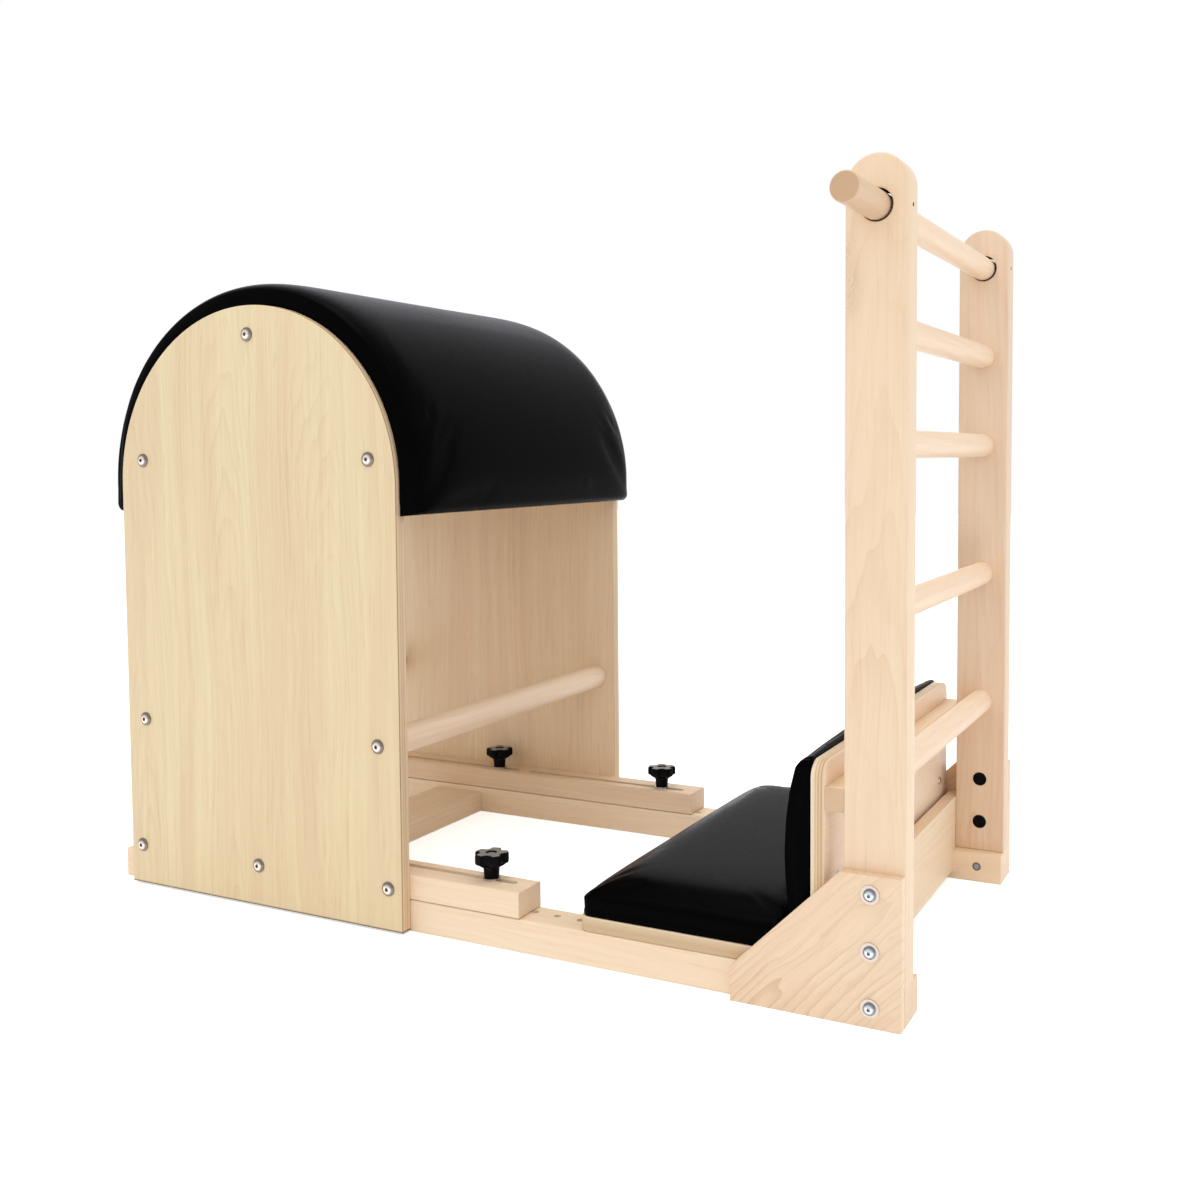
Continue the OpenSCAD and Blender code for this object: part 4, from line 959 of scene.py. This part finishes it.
def on_the_shell(at):
    """True for points of the barrel's pad that lie on the shell or on the panels' edges."""
    across = at[:, 0] - PANEL_X * MM
    up = np.maximum(at[:, 2] - ARCH_HEIGHT * MM, 0)
    return np.hypot(across, up) < (PAD_LAP + PAD_FOLD) * MM


barrel_points, barrel_faces = bent_pad()
barrel_pad = piece("bent_barrel_pad", barrel_points, barrel_faces, vinyl, "barrel", PAD_SHARP)
filled(barrel_pad, BARREL_VOXEL, BARREL_FILL, on_the_shell)
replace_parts(barrel_pad, "barrel_pad")


# Knobs


def star(turn):
    """Radius of a knob's outline at each angle: a circle and the round bites between its lobes,
    joined softly. That is minus half the logarithm of the sum of two terms, each e to minus
    twice a radius: the circle's, and the one at which a bite begins, which lies outside the
    circle where there is none."""
    lobe = 360 / KNOB_LOBES
    no_bite = KNOB_RADIUS + 6

    def outline(around):
        phi = np.radians(np.mod(np.degrees(around) - turn, lobe) - lobe / 2)
        room = BITE_RADIUS ** 2 - (BITE_CENTRE * np.sin(phi)) ** 2
        bite = BITE_CENTRE * np.cos(phi) - np.sqrt(np.clip(room, 0, None))
        bite = np.where(room > 0, bite, no_bite)
        return -np.log(np.exp(-2 * (bite - KNOB_RADIUS)) + 1) / 2 + KNOB_RADIUS
    return outline


# Radius, height and lobe share: hub and collar, flared underside, the rolled lower and upper
# edges, flat top, and the round middle that is sunk into it
quarter = np.radians(np.linspace(0, 90, 7))
core = KNOB_RADIUS - KNOB_EDGE
head = HUB_HEIGHT
top = HUB_HEIGHT + HEAD_HEIGHT
knob_profile = (
    [(0, 0, 0), (9.8, 0, 0), (10.3, 0.5, 0), (11.3, head, 0), (12.3, head + 0.15, 0)] +
    [(12.3 + 8.7 * t, head + 5.5 * t ** 1.25, t ** 0.5) for t in np.linspace(0.08, 1, 9)] +
    [(core + KNOB_EDGE * math.sin(a), head + 8.5 - KNOB_EDGE * math.cos(a), 1)
     for a in quarter[1:]] +
    [(core + KNOB_EDGE * math.cos(a), top - KNOB_EDGE + KNOB_EDGE * math.sin(a), 1)
     for a in quarter] +
    [(19.5, top, 1), (18, top, 1), (15, top, 0.5), (10, top, 0), (8.1, top, 0),
     (7.6, top - 0.2, 0), (7.3, top - 0.8, 0), (7.1, top - 1.7, 0), (6.6, top - 2, 0),
     (3, top - 2, 0), (0, top - 2, 0)])
knob_places = [(x, y) for y in (-KNOB_Y, KNOB_Y) for x in (KNOB_FRONT, KNOB_REAR)]
for number, ((x, y), turn) in enumerate(zip(knob_places, KNOB_TURNS), 1):
    knob = turned("star_knob_%d" % number, knob_profile, (x, y, KNOB_FOOT), star(turn), nylon,
                  "knob_body_%d" % number)
    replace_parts(knob, "knob_%d" % number)


# Studio


def studio():
    """White floor, even white world, one broad light overhead and a faint one at the side. In
    the picture and in mirrored light the floor glows, but it doesn't light the object more."""
    made, tree = new_material("studio_floor")
    path = put(tree, "ShaderNodeLightPath")
    seen = put(tree, "ShaderNodeMath", {0: path.outputs["Is Camera Ray"],
                                        1: path.outputs["Is Glossy Ray"]}, operation="MAXIMUM")
    seen = put(tree, "ShaderNodeMath", {0: seen, 1: path.outputs["Is Transmission Ray"]},
               operation="MAXIMUM")
    lift = put(tree, "ShaderNodeMath", {0: seen, 1: FLOOR_GLOW}, operation="MULTIPLY")
    shade = put(tree, "ShaderNodeBsdfPrincipled",
                {"Base Color": "#FAFAFA", "Roughness": 0.9, "Specular IOR Level": 0.0,
                 "Emission Color": "#FFFFFF", "Emission Strength": lift})
    put(tree, "ShaderNodeOutputMaterial", {0: shade})
    mesh = bpy.data.meshes.new("studio_floor")
    corners = [(-1, -1), (1, -1), (1, 1), (-1, 1)]
    mesh.from_pydata([(FLOOR_HALF * x, FLOOR_HALF * y, 0) for x, y in corners], [],
                     [(0, 1, 2, 3)])
    mesh.materials.append(made)
    floor = in_scene("studio_floor", mesh)

    world = bpy.data.worlds.new("studio_world")
    world.use_nodes = True
    tree = world.node_tree
    tree.nodes.clear()
    back = put(tree, "ShaderNodeBackground", {"Color": "#FFFFFF", "Strength": 1.0})
    put(tree, "ShaderNodeOutputWorld", {0: back})
    bpy.context.scene.world = world

    # Name, place, aim and size in metres, and power in watts
    for name, place, aim, size, power in (
            ("overhead_light", (-0.3, -0.4, 3.2), (0, 0, 0.4), 1.2, 13),
            ("side_light", (3.0, -1.4, 1.6), (0, 0, 0.4), 1.8, 2)):
        lamp = bpy.data.lights.new(name, "AREA")
        lamp.size = size
        lamp.energy = power
        lit = in_scene(name, lamp)
        lit.location = place
        lit.rotation_euler = (Vector(aim) - Vector(place)).to_track_quat("-Z", "Y").to_euler()


def photograph_camera():
    """The camera solved from the photograph: place, turn, tilt, roll and lens."""
    lens = bpy.data.cameras.new("camera")
    lens.sensor_fit = "HORIZONTAL"
    lens.sensor_width = SENSOR
    lens.lens = SENSOR * FOCAL_LENGTH / PHOTO_SIZE
    lens.shift_x = SHIFT_RIGHT / PHOTO_SIZE
    lens.shift_y = SHIFT_UP / PHOTO_SIZE
    lens.clip_end = 60
    camera = in_scene("camera", lens)
    turn = (Matrix.Rotation(math.radians(CAMERA_TURN), 4, "Z") @
            Matrix.Rotation(math.radians(90 - CAMERA_TILT), 4, "X") @
            Matrix.Rotation(math.radians(CAMERA_ROLL), 4, "Z"))
    camera.matrix_world = Matrix.Translation(CAMERA_PLACE) @ turn
    bpy.context.scene.camera = camera


studio()
photograph_camera()
bpy.context.scene.view_settings.view_transform = "Standard"
